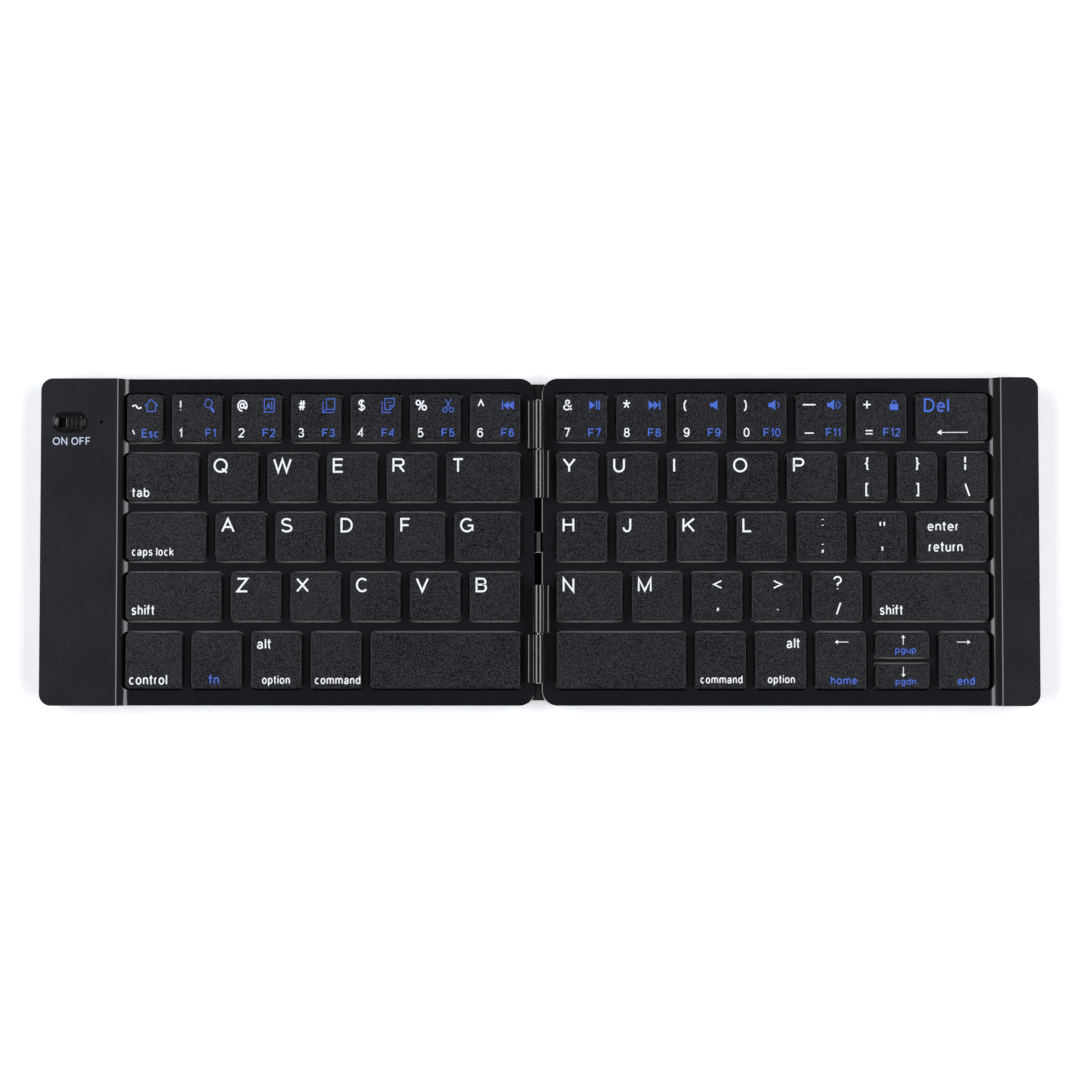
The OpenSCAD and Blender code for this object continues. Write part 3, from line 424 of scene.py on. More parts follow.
# Each sign: its width, and its strokes, in heights of a capital. A stroke is a row of points x,y and arcs
# x,y,rx,ry,from,to, which run along its middle from 0 to 1 across its box. | starts a new stroke.
SIGNS = {
    "A": (0.93, "0,0 .5,1 1,0|.19,.36 .81,.36"),
    "B": (0.78, "0,.53 .6,.53 .6,.765,.34,.235,-90,90 0,1 0,0 .64,0 .64,.265,.36,.265,-90,90"),
    "C": (0.88, ".5,.5,.5,.5,45,315"),
    "D": (0.84, "0,0 .42,0 .42,.5,.58,.5,-90,90 0,1 0,0"),
    "E": (0.75, "1,1 0,1 0,0 1,0|0,.53 .93,.53"),
    "F": (0.7, "1,1 0,1 0,0|0,.5 .88,.5"),
    "G": (0.95, ".5,.5,.5,.5,45,318 .96,.14 .96,.47 .56,.47"),
    "H": (0.8, "0,0 0,1|1,0 1,1|0,.53 1,.53"),
    "I": (0.13, "0,0 0,1"),
    "J": (0.6, "1,1 1,.32 .5,.32,.5,.32,0,-180"),
    "K": (0.85, "0,0 0,1|1,1 .02,.34|.36,.6 1,0"),
    "L": (0.66, "0,1 0,0 1,0"),
    "M": (0.95, "0,0 0,1 .5,.04 1,1 1,0"),
    "N": (0.8, "0,0 0,1 1,0 1,1"),
    "O": (0.98, ".5,.5,.5,.5,90,450"),
    "P": (0.78, "0,0 0,1 .62,1 .62,.735,.38,.265,90,-90 0,.47"),
    "Q": (0.98, ".5,.5,.5,.5,90,450|.62,.26 1,-.05"),
    "R": (0.86, "0,0 0,1 .62,1 .62,.75,.34,.25,90,-90 0,.5|.52,.5 1,0"),
    "S": (0.8, ".5,.76,.45,.24,25,250 .5,.25,.5,.25,70,-160"),
    "T": (0.8, "0,1 1,1|.5,1 .5,0"),
    "U": (0.8, "0,1 0,.36 .5,.36,.5,.36,180,360 1,1"),
    "V": (0.9, "0,1 .5,0 1,1"),
    "W": (1.28, "0,1 .25,0 .5,.98 .75,0 1,1"),
    "X": (0.88, "0,0 1,1|0,1 1,0"),
    "Y": (0.9, "0,1 .5,.44 1,1|.5,.44 .5,0"),
    "Z": (0.82, "0,1 1,1 0,0 1,0"),
    "0": (0.64, ".5,.5,.5,.5,90,450"),
    "1": (0.34, "0,.74 .55,.84 1,1 1,0"),
    "2": (0.64, ".5,.73,.5,.27,165,-40 0,0 1,0"),
    "3": (0.64, ".48,.76,.42,.24,155,-85 .48,.26,.52,.26,85,-160"),
    "4": (0.68, ".74,0 .74,1 0,.3 1,.3"),
    "5": (0.64, ".92,1 .2,1 .08,.5 .5,.32,.5,.32,140,-155"),
    "6": (0.64, ".5,.31,.5,.31,90,450|.55,.5,.55,.5,200,40"),
    "7": (0.64, "0,1 1,1 .35,0"),
    "8": (0.64, ".5,.76,.42,.24,90,450|.5,.26,.5,.26,90,450"),
    "9": (0.64, ".5,.69,.5,.31,90,450|.45,.5,.55,.5,20,-140"),
    "a": (0.64, ".5,.47,.42,.214,165,0 .92,.1 1,0|.92,.38 .4,.34 .4,.17,.4,.17,90,270 .6,.01 .92,.16"),
    "b": (0.64, "0,0 0,1|.5,.342,.5,.342,90,450"),
    "c": (0.6, ".5,.342,.5,.342,48,312"),
    "d": (0.64, "1,0 1,1|.5,.342,.5,.342,90,450"),
    "e": (0.64, ".02,.36 1,.36 .5,.342,.5,.342,3,315"),
    "f": (0.38, ".35,0 .35,.8 .95,.8,.6,.2,180,90|-.5,.684 1.3,.684"),
    "g": (0.64, "1,.684 1,-.05 .5,-.05,.5,.28,0,-150|.5,.342,.5,.342,90,450"),
    "h": (0.6, "0,0 0,1|0,.4 .5,.42,.5,.264,180,0 1,0"),
    "i": (0.13, "0,0 0,.684|0,.9 0,1.02"),
    "k": (0.6, "0,0 0,1|.95,.684 .02,.25|.38,.44 1,0"),
    "l": (0.13, "0,0 0,1"),
    "m": (1.0, "0,0 0,.684|0,.42 .25,.44,.25,.244,180,0 .5,0|.5,.42 .75,.44,.25,.244,180,0 1,0"),
    "n": (0.6, "0,0 0,.684|0,.42 .5,.42,.5,.264,180,0 1,0"),
    "o": (0.66, ".5,.342,.5,.342,90,450"),
    "p": (0.64, "0,-.333 0,.684|.5,.342,.5,.342,90,450"),
    "r": (0.34, "0,0 0,.684|0,.38 .8,.38,.8,.3,180,80"),
    "s": (0.56, ".5,.51,.44,.174,25,240 .5,.18,.48,.18,70,-160"),
    "t": (0.34, ".35,.96 .35,.2 .95,.2,.6,.2,180,270|-.5,.684 1.35,.684"),
    "u": (0.6, "0,.684 0,.28 .5,.28,.5,.28,180,360|1,0 1,.684"),
    "~": (0.9, ".25,.45,.25,.16,180,30 .75,.45,.25,.16,210,360"),
    "`": (0.3, "0,1.2 1,.65"),
    "!": (0.15, "0,.28 0,1|0,0 0,.07"),
    "@": (0.95, ".5,.45,.5,.55,-40,270|.46,.46,.2,.24,90,450|.7,.72 .64,.3 .78,.2 .96,.38"),
    "#": (0.72, ".26,0 .42,1|.62,0 .78,1|0,.32 .95,.32|.05,.68 1,.68"),
    "$": (0.64, ".5,.76,.45,.24,25,250 .5,.25,.5,.25,70,-160|.5,-.12 .5,1.12"),
    "%": (1.05, ".2,.76,.2,.24,90,450|.8,.24,.2,.24,90,450|.25,0 .75,1"),
    "^": (0.62, "0,.4 .5,1 1,.4"),
    "&": (0.84, "1,0 .25,.68 .47,.81,.24,.19,210,-40 .12,.42 .38,.25,.38,.25,135,320 .95,.5"),
    "*": (0.75, ".5,.6 .5,1.02|.5,.6 0,.74|.5,.6 1,.74|.5,.6 .18,.22|.5,.6 .82,.22"),
    "(": (0.38, "1,.42,1,.57,105,255"),
    ")": (0.38, "0,.42,1,.57,75,-75"),
    "_": (1.3, "0,.5 1,.5"),
    "-": (1.1, "0,.4 1,.4"),
    "+": (0.8, "0,.5 1,.5|.5,.1 .5,.9"),
    "=": (0.9, "0,.3 1,.3|0,.7 1,.7"),
    "{": (0.32, "1,1 .5,.94 .5,.6 0,.5 .5,.4 .5,.06 1,0"),
    "}": (0.32, "0,1 .5,.94 .5,.6 1,.5 .5,.4 .5,.06 0,0"),
    "[": (0.28, "1,1 0,1 0,0 1,0"),
    "]": (0.28, "0,1 1,1 1,0 0,0"),
    "|": (0.13, "0,.57 0,1|0,0 0,.43"),
    "\\": (0.42, "0,1 1,0"),
    "/": (0.42, "0,0 1,1"),
    ":": (0.15, "0,0 0,.09|0,.6 0,.69"),
    ";": (0.2, "1,.09 1,-.05 0,-.22|1,.6 1,.69"),
    '"': (0.42, "0,.66 0,1|1,.66 1,1"),
    "'": (0.13, "0,.66 0,1"),
    "<": (0.76, "1,.84 0,.5 1,.16"),
    ">": (0.76, "0,.84 1,.5 0,.16"),
    ",": (0.22, "1,.09 1,-.05 0,-.22"),
    ".": (0.15, "0,0 0,.1"),
    "?": (0.62, ".5,.74,.5,.26,170,-55 .5,.44 .5,.28|.5,0 .5,.07"),
}
SPACE_W = 0.36
LETTER_GAP = 0.17

# Signs drawn in a box of their own. * before a stroke fills it.
ICONS = {
    "home": "0,.5 .5,1 1,.5 .84,.5 .84,0 .16,0 .16,.5 0,.5",
    "find": ".38,.66,.38,.34,90,450|.58,.4 .7,.26|*.6,.24 .74,.36 1,.06 .86,-.04",
    "select": "0,0 1,0 1,1 0,1 0,0|.22,.2 .42,.72 .62,.2|.3,.42 .54,.42|.72,.82 .78,.2",
    "copy": ".3,.22 1,.22 1,.98 .3,.98 .3,.22|.3,.22 0,0 0,.8|0,0 .82,0 .98,.1",
    "paste": ".22,.2 .62,.2 .95,.5 .95,1 .22,1 .22,.2|0,.8 0,0 .7,0|.62,.2 .62,.5 .95,.5|.45,.72 .72,.72",
    "cut": ".2,.16,.2,.16,90,450|.8,.16,.2,.16,90,450|.3,.3 .8,1|.7,.3 .2,1",
    "previous": "*0,0 .1,0 .1,1 0,1|*.12,.5 .56,1 .56,0|*.5,.5 1,1 1,0",
    "play": "*0,0 .55,.5 0,1|*.62,0 .74,0 .74,1 .62,1|*.86,0 .98,0 .98,1 .86,1",
    "next": "*1,0 .9,0 .9,1 1,1|*.88,.5 .44,1 .44,0|*.5,.5 0,1 0,0",
    "quiet": "*0,.3 .35,.3 .9,0 .9,1 .35,.7 0,.7",
    "softer": "*0,.3 .22,.3 .6,0 .6,1 .22,.7 0,.7|.6,.5,.35,.42,55,-55",
    "louder": "*0,.3 .2,.3 .5,0 .5,1 .2,.7 0,.7|.45,.5,.25,.3,55,-55|.45,.5,.52,.5,55,-55",
    "lock": "*.05,0 .95,0 .95,.58 .05,.58|.25,.5 .25,.68 .5,.68,.25,.28,180,0 .75,.5",
    "left": "0,.5 1,.5|*0,.5 .22,.86 .22,.14",
    "right": "0,.5 1,.5|*1,.5 .78,.14 .78,.86",
    "up": ".5,0 .5,1|*.5,1 .12,.72 .88,.72",
    "down": ".5,0 .5,1|*.5,0 .88,.28 .12,.28",
    "delete": "0,.5 1,.5|*0,.5 .14,1 .14,0",
}


def strokes_of(text):
    """The strokes that a sign's text describes: (filled, closed, points)."""
    for part in text.split("|"):
        points = []
        for token in part.lstrip("*").split():
            numbers = [float(number) for number in token.split(",")]
            new = [tuple(numbers[:2])]
            if len(numbers) > 2:
                cx, cy, rx, ry, start, end = numbers
                steps = max(3, round(abs(end - start) / ARC_STEP))
                new = [(cx + rx * x, cy + ry * y) for x, y in arc(0, 0, 1, start, end, steps)]
            points += [p for p in new if not points or math.dist(p, points[-1]) > SAME]
        closed = math.dist(points[0], points[-1]) < SAME
        yield part.startswith("*"), closed, points[:-1] if closed else points


class Print:
    """Thin ink on the tops of one node's caps."""

    def __init__(self):
        self.bm = bmesh.new()
        self.layers = 0

    def thicken(self, faces, top_z, ink):
        """Turns flat faces into a layer of ink."""
        self.layers += 1
        low = top_z - INK_SINK + self.layers * LAYER
        for vert in {v for f in faces for v in f.verts}:
            vert.co.z = low
        for face in faces:
            face.material_index = ink
        for item in bmesh.ops.extrude_face_region(self.bm, geom=faces)["geom"]:
            if isinstance(item, bmesh.types.BMVert):
                item.co.z = low + INK_T

    def line(self, points, thick, closed):
        """The faces of a line of even thickness through some points."""
        ways = [Vector(b) - Vector(a) for a, b in zip(points, points[1:] + points[:1])]
        sides = [Vector((-way.y, way.x)).normalized() for way in ways]
        last = len(points) - 1
        pairs = []
        for i, (x, y) in enumerate(points):
            before = sides[i] if i == 0 and not closed else sides[i - 1]
            after = before if i == last and not closed else sides[i]
            middle = (before + after).normalized()
            out = middle * (thick / 2 / max(middle.dot(after), MITRE_LIMIT))
            pairs.append([self.bm.verts.new((x + s * out.x, y + s * out.y, 0)) for s in (1, -1)])
        faces = []
        for i in range(len(points) if closed else last):
            (a, b), (d, c) = pairs[i], pairs[(i + 1) % len(points)]
            faces.append(self.bm.faces.new((a, b, c, d)))
        return faces

    def sign(self, text, low, size, thick, top_z, ink):
        """Draws a sign's strokes in a box with its lower left corner at low."""
        for filled, closed, points in strokes_of(text):
            if filled:
                places = [tuple(low[i] + p[i] * size[i] for i in (0, 1)) for p in points]
                faces = [self.bm.faces.new([self.bm.verts.new((*place, 0)) for place in places])]
            else:
                inner = [max(extent - thick, 0) for extent in size]
                places = [tuple(low[i] + thick / 2 + p[i] * inner[i] for i in (0, 1)) for p in points]
                faces = self.line(places, thick, closed)
            self.thicken(faces, top_z, ink)

    def words(self, words, x, base, height, top_z, ink, width=None, align=0.0, weight=INK_WEIGHT):
        """Words with capitals of some height on a baseline. Their left end is at x, or their middle if align
        is 0.5, or their right end if it is 1."""
        advances = [SPACE_W if c == " " else SIGNS[c][0] + LETTER_GAP for c in words]
        natural = (sum(advances) - LETTER_GAP) * height
        stretch = width / natural if width else 1
        place = x - align * natural * stretch
        for letter, advance in zip(words, advances):
            if letter != " ":
                w, text = SIGNS[letter]
                thick = weight * height
                self.sign(text, (place, base), (max(w * height * stretch, thick), height), thick, top_z, ink)
            place += advance * height * stretch


# ---- Keys ----

KEY_R = 1.2 * MM
ARROW_R = 0.4 * MM
CAP_EDGE_R = 0.3 * MM
SKIRT_T = 0.8 * MM
CAP_TOP_T = 1.2 * MM
FOOT_ROUND = 0.08 * MM

GROUPS = {
    "left_number_keys": ["esc", "1", "2", "3", "4", "5", "6"],
    "left_control_keys": ["tab", "caps", "shift", "control", "fn", "alt", "command"],
    "left_space_key": ["space"],
    "right_number_keys": ["7", "8", "9", "0", "minus", "equals", "del"],
    "right_symbol_keys": ["[", "]", "backslash", "semicolon", "quote", "comma", "period", "slash"],
    "right_control_keys": ["enter", "right_shift", "up", "right_command", "right_alt", "left", "right",
                           "down"],
    "right_space_key": ["space"],
}


def keys_of(node):
    """(name, low, high) of each cap of a key node, row by row from the back, and from left to right."""
    boxes = sorted(boxes_of(node), key=lambda box: (-round((box[0][1] + box[1][1]) / 2 / MM), box[0][0]))
    return [(name, *box) for name, box in zip(GROUPS.get(node, [node[-1]]), boxes)]


KEYS = {node: keys_of(node) for node in frame["nodes"] if material_of(node) == "cap"}


def add_cap(bm, name, low, high):
    """A hollow cap with a rounded top edge and a small round at its lower edge."""
    back = ARROW_R if name == "down" else KEY_R
    front = ARROW_R if name == "up" else KEY_R
    radii = [front, front, back, back]
    shape = [(SKIRT_T, high[2] - CAP_TOP_T), (SKIRT_T, low[2])]
    shape += [(FOOT_ROUND, low[2]), (0, low[2] + FOOT_ROUND)]
    shape += [(CAP_EDGE_R * (1 - x), high[2] - CAP_EDGE_R * (1 - y)) for x, y in arc(0, 0, 1, 0, 90, 5)]
    loft(bm, [ring(low, high, radii, inset, z) for inset, z in shape])


BARRED = ("key_f", "key_j")
BAR_L, BAR_W, BAR_H = 3.3 * MM, 0.42 * MM, 0.2 * MM
BAR_RIGHT, BAR_FROM_FRONT = 0.35 * MM, 2.3 * MM


def add_bar(bm, low, high):
    """The small glossy bar near the front of a cap, which fingers feel. Its darker colour is painted shade,
    standing in for the dark line of its shaded side; its gloss is its own.
    """
    before = len(bm.faces)
    x, y = (low[0] + high[0]) / 2 + BAR_RIGHT, low[1] + BAR_FROM_FRONT
    ends = (x - BAR_L / 2, y - BAR_W / 2), (x + BAR_L / 2, y + BAR_W / 2)
    shape = [(0, -0.02 * MM), (0, BAR_H * 0.4), (0.06 * MM, BAR_H * 0.8), (0.14 * MM, BAR_H)]
    radii = [BAR_W / 2.01] * 4  # a little under half its width
    loft(bm, [ring(*ends, radii, inset, high[2] + rise) for inset, rise in shape])
    for face in list(bm.faces)[before:]:
        face.material_index = 1


for node, keys in KEYS.items():
    bm = bmesh.new()
    materials = [MATERIALS["cap"]]
    for name, low, high in keys:
        add_cap(bm, name, low, high)
    if node in BARRED:
        add_bar(bm, *keys[0][1:])
        # The bar's darker shell plastic is painted shade
        materials.append(MATERIALS["shell"])
    keep_flat(piece(node + "_caps", bm, node, "cap", node, materials=materials))

# ---- Legends ----

NUMBER_ROW = {
    "1": "! find F1", "2": "@ select F2", "3": "# copy F3", "4": "$ paste F4", "5": "% cut F5",
    "6": "^ previous F6", "7": "& play F7", "8": "* next F8", "9": "( quiet F9", "0": ") softer F10",
    "minus": "_ louder F11", "equals": "+ lock F12",
}
ICON_SIZES = {"find": (2.6, 3.4), "select": (2.7, 3.5), "copy": (3.2, 3.7), "paste": (3.4, 3.7),
              "cut": (2.9, 3.6), "previous": (3.0, 2.2), "play": (2.7, 2.2), "next": (2.9, 2.2),
              "quiet": (2.0, 2.4), "softer": (2.9, 2.5), "louder": (3.5, 2.6), "lock": (2.3, 2.6)}
# name: (words, inset of their left edge, baseline, height of capitals, width, ink)
WORDS = {
    "esc": [("~", 1.25, 4.5, 2.75, 2.5, WHITE), ("`", 1.3, 11.7, 2.4, 0.8, WHITE),
            ("Esc", 3.8, 11.0, 2.15, 4.2, BLUE)],
    "tab": [("tab", 1.5, 11.0, 2.45, 4.3, WHITE)],
    "caps": [("caps lock", 1.5, 10.75, 2.15, 10.5, WHITE)],
    "shift": [("shift", 1.5, 10.6, 2.6, 5.75, WHITE)],
    "control": [("control", 1.0, 13.05, 2.6, 9.5, WHITE)],
    "fn": [("fn", 4.55, 12.9, 2.45, 2.5, BLUE)],
    "alt": [("alt", 1.55, 4.1, 2.65, 3.5, WHITE), ("option", 2.85, 12.85, 2.2, 7.0, WHITE)],
    "command": [("command", 1.1, 12.9, 2.2, 11.4, WHITE)],
    "right_command": [("command", 1.3, 12.7, 2.1, 10.5, WHITE)],
    "right_alt": [("alt", 7.8, 3.9, 2.65, 3.3, WHITE), ("option", 3.1, 12.65, 2.1, 6.75, WHITE)],
    "right_shift": [("shift", 1.9, 10.6, 2.6, 5.75, WHITE)],
    "enter": [("enter", 2.75, 4.6, 2.5, 7.75, WHITE), ("return", 3.0, 9.8, 2.6, 8.5, WHITE)],
    "del": [("Del", 2.0, 4.8, 3.5, 6.25, BLUE)],
    "left": [("home", 3.85, 12.9, 2.1, 6.5, BLUE)],
    "right": [("end", 4.6, 13.05, 2.15, 4.25, BLUE)],
    "up": [("pgup", 4.9, 5.1, 1.65, 5.2, BLUE)],
    "down": [("pgdn", 4.95, 5.05, 1.65, 5.1, BLUE)],
}
# name: (icon, inset of its left edge, its lower and upper edge, width, ink)
MARKS = {
    "esc": ("home", 4.5, 4.5, 1.25, 3.3, BLUE),
    "del": ("delete", 5.25, 10.6, 9.2, 7.75, WHITE),
    "left": ("left", 4.85, 3.1, 1.6, 3.5, WHITE),
    "right": ("right", 4.35, 3.1, 1.6, 3.5, WHITE),
    "up": ("up", 6.2, 3.1, 0.6, 1.4, WHITE),
    "down": ("down", 6.2, 3.2, 0.5, 1.4, WHITE),
}
# name: (sign, the middle of its width from the key's left edge, its baseline and height of capitals)
PAIRS = {
    "[": [("{", 5.05, 4.4, 3.35), ("[", 5.05, 10.9, 3.35)],
    "]": [("}", 5.05, 4.4, 3.35), ("]", 5.05, 10.9, 3.35)],
    "backslash": [("|", 4.55, 4.55, 3.75), ("\\", 5.05, 11.05, 3.5)],
    "semicolon": [(":", 6.55, 3.5, 2.9), (";", 6.5, 9.75, 2.9)],
    "quote": [('"', 6.45, 5.4, 3.3), ("'", 6.45, 11.6, 3.3)],
    "comma": [("<", 6.45, 4.45, 3.0), (",", 6.45, 9.25, 2.9)],
    "period": [(">", 6.45, 4.45, 3.0), (".", 6.45, 9.6, 2.9)],
    "slash": [("?", 6.4, 4.35, 3.5), ("/", 6.65, 10.6, 3.25)],
}
SYMBOL_WEIGHT = 0.12
DOTS, DOT_WEIGHT = ":;,.", 0.16
ONE_X = 2.25  # 1 and !
DASH_X = 3.3  # signs of one or two dashes
SIGN_X, SIGN_Y, SIGN_H = 2.8, 2.9, 2.75  # the sign over a digit
SIGN_XS = {"_": DASH_X, "!": ONE_X, "*": 2.55, "(": 2.35, ")": 2.2}
DIGIT_X, DIGIT_BASE, DIGIT_H = 2.6, 11.0, 2.35
DIGIT_XS = {"-": DASH_X, "=": DASH_X, "1": ONE_X}
F_RIGHT, F_BASE, F_H = 11.1, 10.9, 2.1
ICON_X, ICON_Y = 9.55, 2.95
LETTER_IN, LETTER_BASE, LETTER_H = 1.5, 4.9, 3.65
ICON_LINE = 0.2


def add_legends(out, name, low, high):
    """Prints a key's legends. Places are in mm from its left and its back edge."""
    left, back, top = low[0], high[1], high[2]

    def words(text, x, base, height, ink, width=None, **how):
        out.words(text, left + x * MM, back - base * MM, height * MM, top, ink, width and width * MM, **how)

    def mark(icon, x, base, up, width, ink):
        size = (width * MM, (base - up) * MM)
        out.sign(ICONS[icon], (left + x * MM, back - base * MM), size, ICON_LINE * MM, top, ink)

    if name in NUMBER_ROW:
        sign, icon, f_key = NUMBER_ROW[name].split()
        digit = {"minus": "-", "equals": "="}.get(name, name)
        words(sign, SIGN_XS.get(sign, SIGN_X), SIGN_Y + SIGN_H / 2, SIGN_H, WHITE, align=0.5)
        words(digit, DIGIT_XS.get(digit, DIGIT_X), DIGIT_BASE, DIGIT_H, WHITE, align=0.5)
        words(f_key, F_RIGHT, F_BASE, F_H, BLUE, align=1)
        width, height = ICON_SIZES[icon]
        mark(icon, ICON_X - width / 2, ICON_Y + height / 2, ICON_Y - height / 2, width, BLUE)
    for text, x, base, height, width, ink in WORDS.get(name, []):
        words(text, x, base, height, ink, width)
    if name in MARKS:
        mark(*MARKS[name])
    for text, x, base, height in PAIRS.get(name, []):
        weight = DOT_WEIGHT if text in DOTS else SYMBOL_WEIGHT
        words(text, x, base, height, WHITE, align=0.5, weight=weight)
    if len(name) == 1 and name.isalpha():
        words(name.upper(), LETTER_IN, LETTER_BASE, LETTER_H, WHITE)


for node, keys in KEYS.items():
    if not node.endswith("space_key"):
        out = Print()
        for name, low, high in keys:
            add_legends(out, name, low, high)
        piece(node + "_legends", out.bm, node, "cap", materials=INKS[:2])

# ---- Shells ----

TRAY_LOW, TRAY_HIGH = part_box("left_base_tray")
SEAM_Z, WING_Z = [corner[2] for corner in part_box("left_end_cover")]

# How far edges are rounded
CASE_EDGE = 0.45 * MM  # the outer edges of the trays and covers
RIM_EDGE = 0.3 * MM  # the outer edges of the frames
DISH_EDGE = 0.6 * MM
FINE_EDGE = 0.12 * MM
HOLE_EDGE = 0.08 * MM
SEAM_EDGE = 0.06 * MM
FOOT_EDGE, KNOB_EDGE, SOCKET_EDGE, POUCH_EDGE = 0.25 * MM, 0.1 * MM, 0.06 * MM, 0.5 * MM

# How near an edge has to be to count as one of the case's
SIDE_BAND = 1.5 * MM
RIM_BAND = 0.3 * MM
SEAM_BAND = 0.1 * MM
RAMP_TOP_BAND = 0.2 * MM
TRAY_GAP_SIDE, FRAME_GAP_SIDE = 5 * MM, 1.3 * MM  # from the middle of the keyboard
UNDERSIDE_Z = 1.2 * MM


def near(value, target, by=0.05 * MM):
    """Whether two lengths are about the same."""
    return abs(value - target) < by


def on_side(place):
    """Whether a place is on the outer walls of the case."""
    walls = (abs(place.x), -TRAY_LOW[0]), (place.y, TRAY_LOW[1]), (place.y, TRAY_HIGH[1])
    return any(near(*wall, SIDE_BAND) for wall in walls)


def tray_width(middle, first, second):
    """Rounds the edges of the underside and its holes, and faintly those of the seam."""
    if min(first.z, second.z) < -0.9 and max(first.z, second.z) > -0.1 and middle.z < UNDERSIDE_Z:
        return CASE_EDGE if on_side(middle) or abs(middle.x) < TRAY_GAP_SIDE else HOLE_EDGE
    return SEAM_EDGE if near(middle.z, SEAM_Z) else 0


def frame_width(middle, first, second):
    """Rounds the edges of the top face and, less, those of the wells and ramps."""
    if middle.z < SEAM_Z + SEAM_BAND:
        return SEAM_EDGE
    if near(middle.z, WING_Z, RAMP_TOP_BAND):
        return 0
    highest = max(first.z, second.z)
    if highest > 0.9 and (abs(middle.y) > TRAY_HIGH[1] - RIM_BAND or abs(middle.x) < FRAME_GAP_SIDE):
        return RIM_EDGE
    return FINE_EDGE if highest > 0.4 else 0


def cover_width(middle, first, second):
    """Rounds the edges of the top face and of the switch's dish."""
    if middle.z < SEAM_Z + SEAM_BAND:
        return SEAM_EDGE
    if max(abs(first.z), abs(second.z)) < 0.3:
        return 0
    if not near(middle.z, WING_Z):
        return SEAM_EDGE
    if on_side(middle):
        return CASE_EDGE
    return DISH_EDGE if in_dish(middle) else FINE_EDGE


def foot_width(middle, first, second):
    """Rounds the edges that stand on the floor."""
    return FOOT_EDGE if middle.z < SEAM_BAND else 0


def all_round(width):
    """The same rounding for every edge."""
    return lambda middle, first, second: width


SWITCH_X, SWITCH_Y = -117.6 * MM, 30.0 * MM
DISH_L, DISH_W = 9.3 * MM, 5.3 * MM
DISH_MARGIN = 0.05 * MM
CARRIER_DEEP = 0.9 * MM  # under the top of the cover


def in_dish(place):
    """Whether a place is in the dish round the power switch, or on its edge."""
    x, y = abs(place.x - SWITCH_X), abs(place.y - SWITCH_Y)
    return x < DISH_L / 2 + DISH_MARGIN and y < DISH_W / 2 + DISH_MARGIN


def is_dish(face):
    """Whether a face is one of the dish's slopes."""
    return in_dish(face.calc_center_median()) and 0.1 < face.normal.z < 0.99


def is_carrier(face):
    """Whether a face is on the plate that carries the knob, under the slot."""
    return face.calc_center_median().z < WING_Z - CARRIER_DEEP


WELL_GAP = 0.45 * MM  # round the keys
WELL_CORNER_R = KEY_R + WELL_GAP
WELL_FLOOR_Z = 5.2 * MM  # where the flare starts
WELL_FLARE = {"left": 0.35, "right": 0.68}  # how far a well widens for each unit of height
CUT_BACK, CUT_PAST = 3 * MM, 0.5 * MM  # how far the cut overlaps a well, and goes beyond the top
CUT_SLACK = 0.01 * MM  # between the cut and the other walls of a well
RIM_DROP = 0.15 * MM  # of the rim along the top of the ramp
RIM_MARGIN = 0.2 * MM
AT_TOP = 0.02 * MM


def frame_shape(half):
    """Widens the wells towards the ramp, and slopes the rim at its top."""
    side = -1 if half == "left" else 1

    def shape(bm):
        rim_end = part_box(half + "_end_cover")[0 if side > 0 else 1][0]
        for vert in bm.verts:
            if near(vert.co.z, WING_Z, AT_TOP) and abs(vert.co.x) < abs(rim_end) - RIM_MARGIN:
                vert.co.z -= RIM_DROP
        caps = [(low, high) for keys in KEYS.values() for _, low, high in keys]
        ends = [max(side * low[0], side * high[0]) for low, high in caps]
        edge = max(ends) + WELL_GAP
        cutter = bmesh.new()
        for end, (low, high) in zip(ends, caps):
            if near(end + WELL_GAP, edge):
                rings = []
                for z in (WELL_FLOOR_Z, WING_Z + CUT_PAST):
                    flared = edge + WELL_FLARE[half] * (z - WELL_FLOOR_Z)
                    x0, x1 = sorted((side * (edge - CUT_BACK), side * flared))
                    corners = (x0, low[1] - WELL_GAP), (x1, high[1] + WELL_GAP)
                    rings.append(ring(*corners, [WELL_CORNER_R] * 4, CUT_SLACK, z))
                loft(cutter, rings)
        return without(bm, cutter)

    return shape


for half in ("left", "right"):
    rounded(half + "_tray_shell", half + "_base_tray", tray_width)
    rounded(half + "_frame_shell", half + "_key_frame", frame_width, shape=frame_shape(half))
    dish = {"other": is_dish, "other_material": "knob"} if half == "left" else {}
    rounded(half + "_cover_shell", half + "_end_cover", cover_width, **dish)
    rounded(half + "_soft_feet", half + "_feet", foot_width)
# The plate under the slot takes the near-black "well" plastic, which is painted shade
rounded("switch_knob", "power_slider", all_round(KNOB_EDGE), other=is_carrier, other_material="well")
rounded("charging_socket", "usb_socket", all_round(SOCKET_EDGE))
rounded("battery_pouch", "battery", all_round(POUCH_EDGE))

SWITCH_WORDS = [("ON", -122.0, 3.65), ("OFF", -117.3, 4.8)]  # with their left ends and widths in mm
SWITCH_BASE_Y, SWITCH_WORD_H = 24.3 * MM, 1.95 * MM
out = Print()
for text, x, width in SWITCH_WORDS:
    out.words(text, x * MM, SWITCH_BASE_Y, SWITCH_WORD_H, WING_Z, PALE, width * MM)
piece("switch_words", out.bm, "left_half", "wing", materials=INKS)

# ---- Hinges ----

AXIS_Z = 8.4 * MM
KNUCKLE_R = 1.325 * MM
RISER_NEAR, RISER_FAR = 1.0 * MM, 2.8 * MM  # the upright part of a leaf, from the axis
SHOULDER = 0.6 * MM
LEAF_T = 0.8 * MM
BORE_R = 0.62 * MM
PIN_R = 0.6 * MM
PIN_HEAD_R, PIN_HEAD_T = 0.95 * MM, 0.4 * MM
PIN_ROUND = 0.1 * MM
LEAF_EDGE = 0.1 * MM


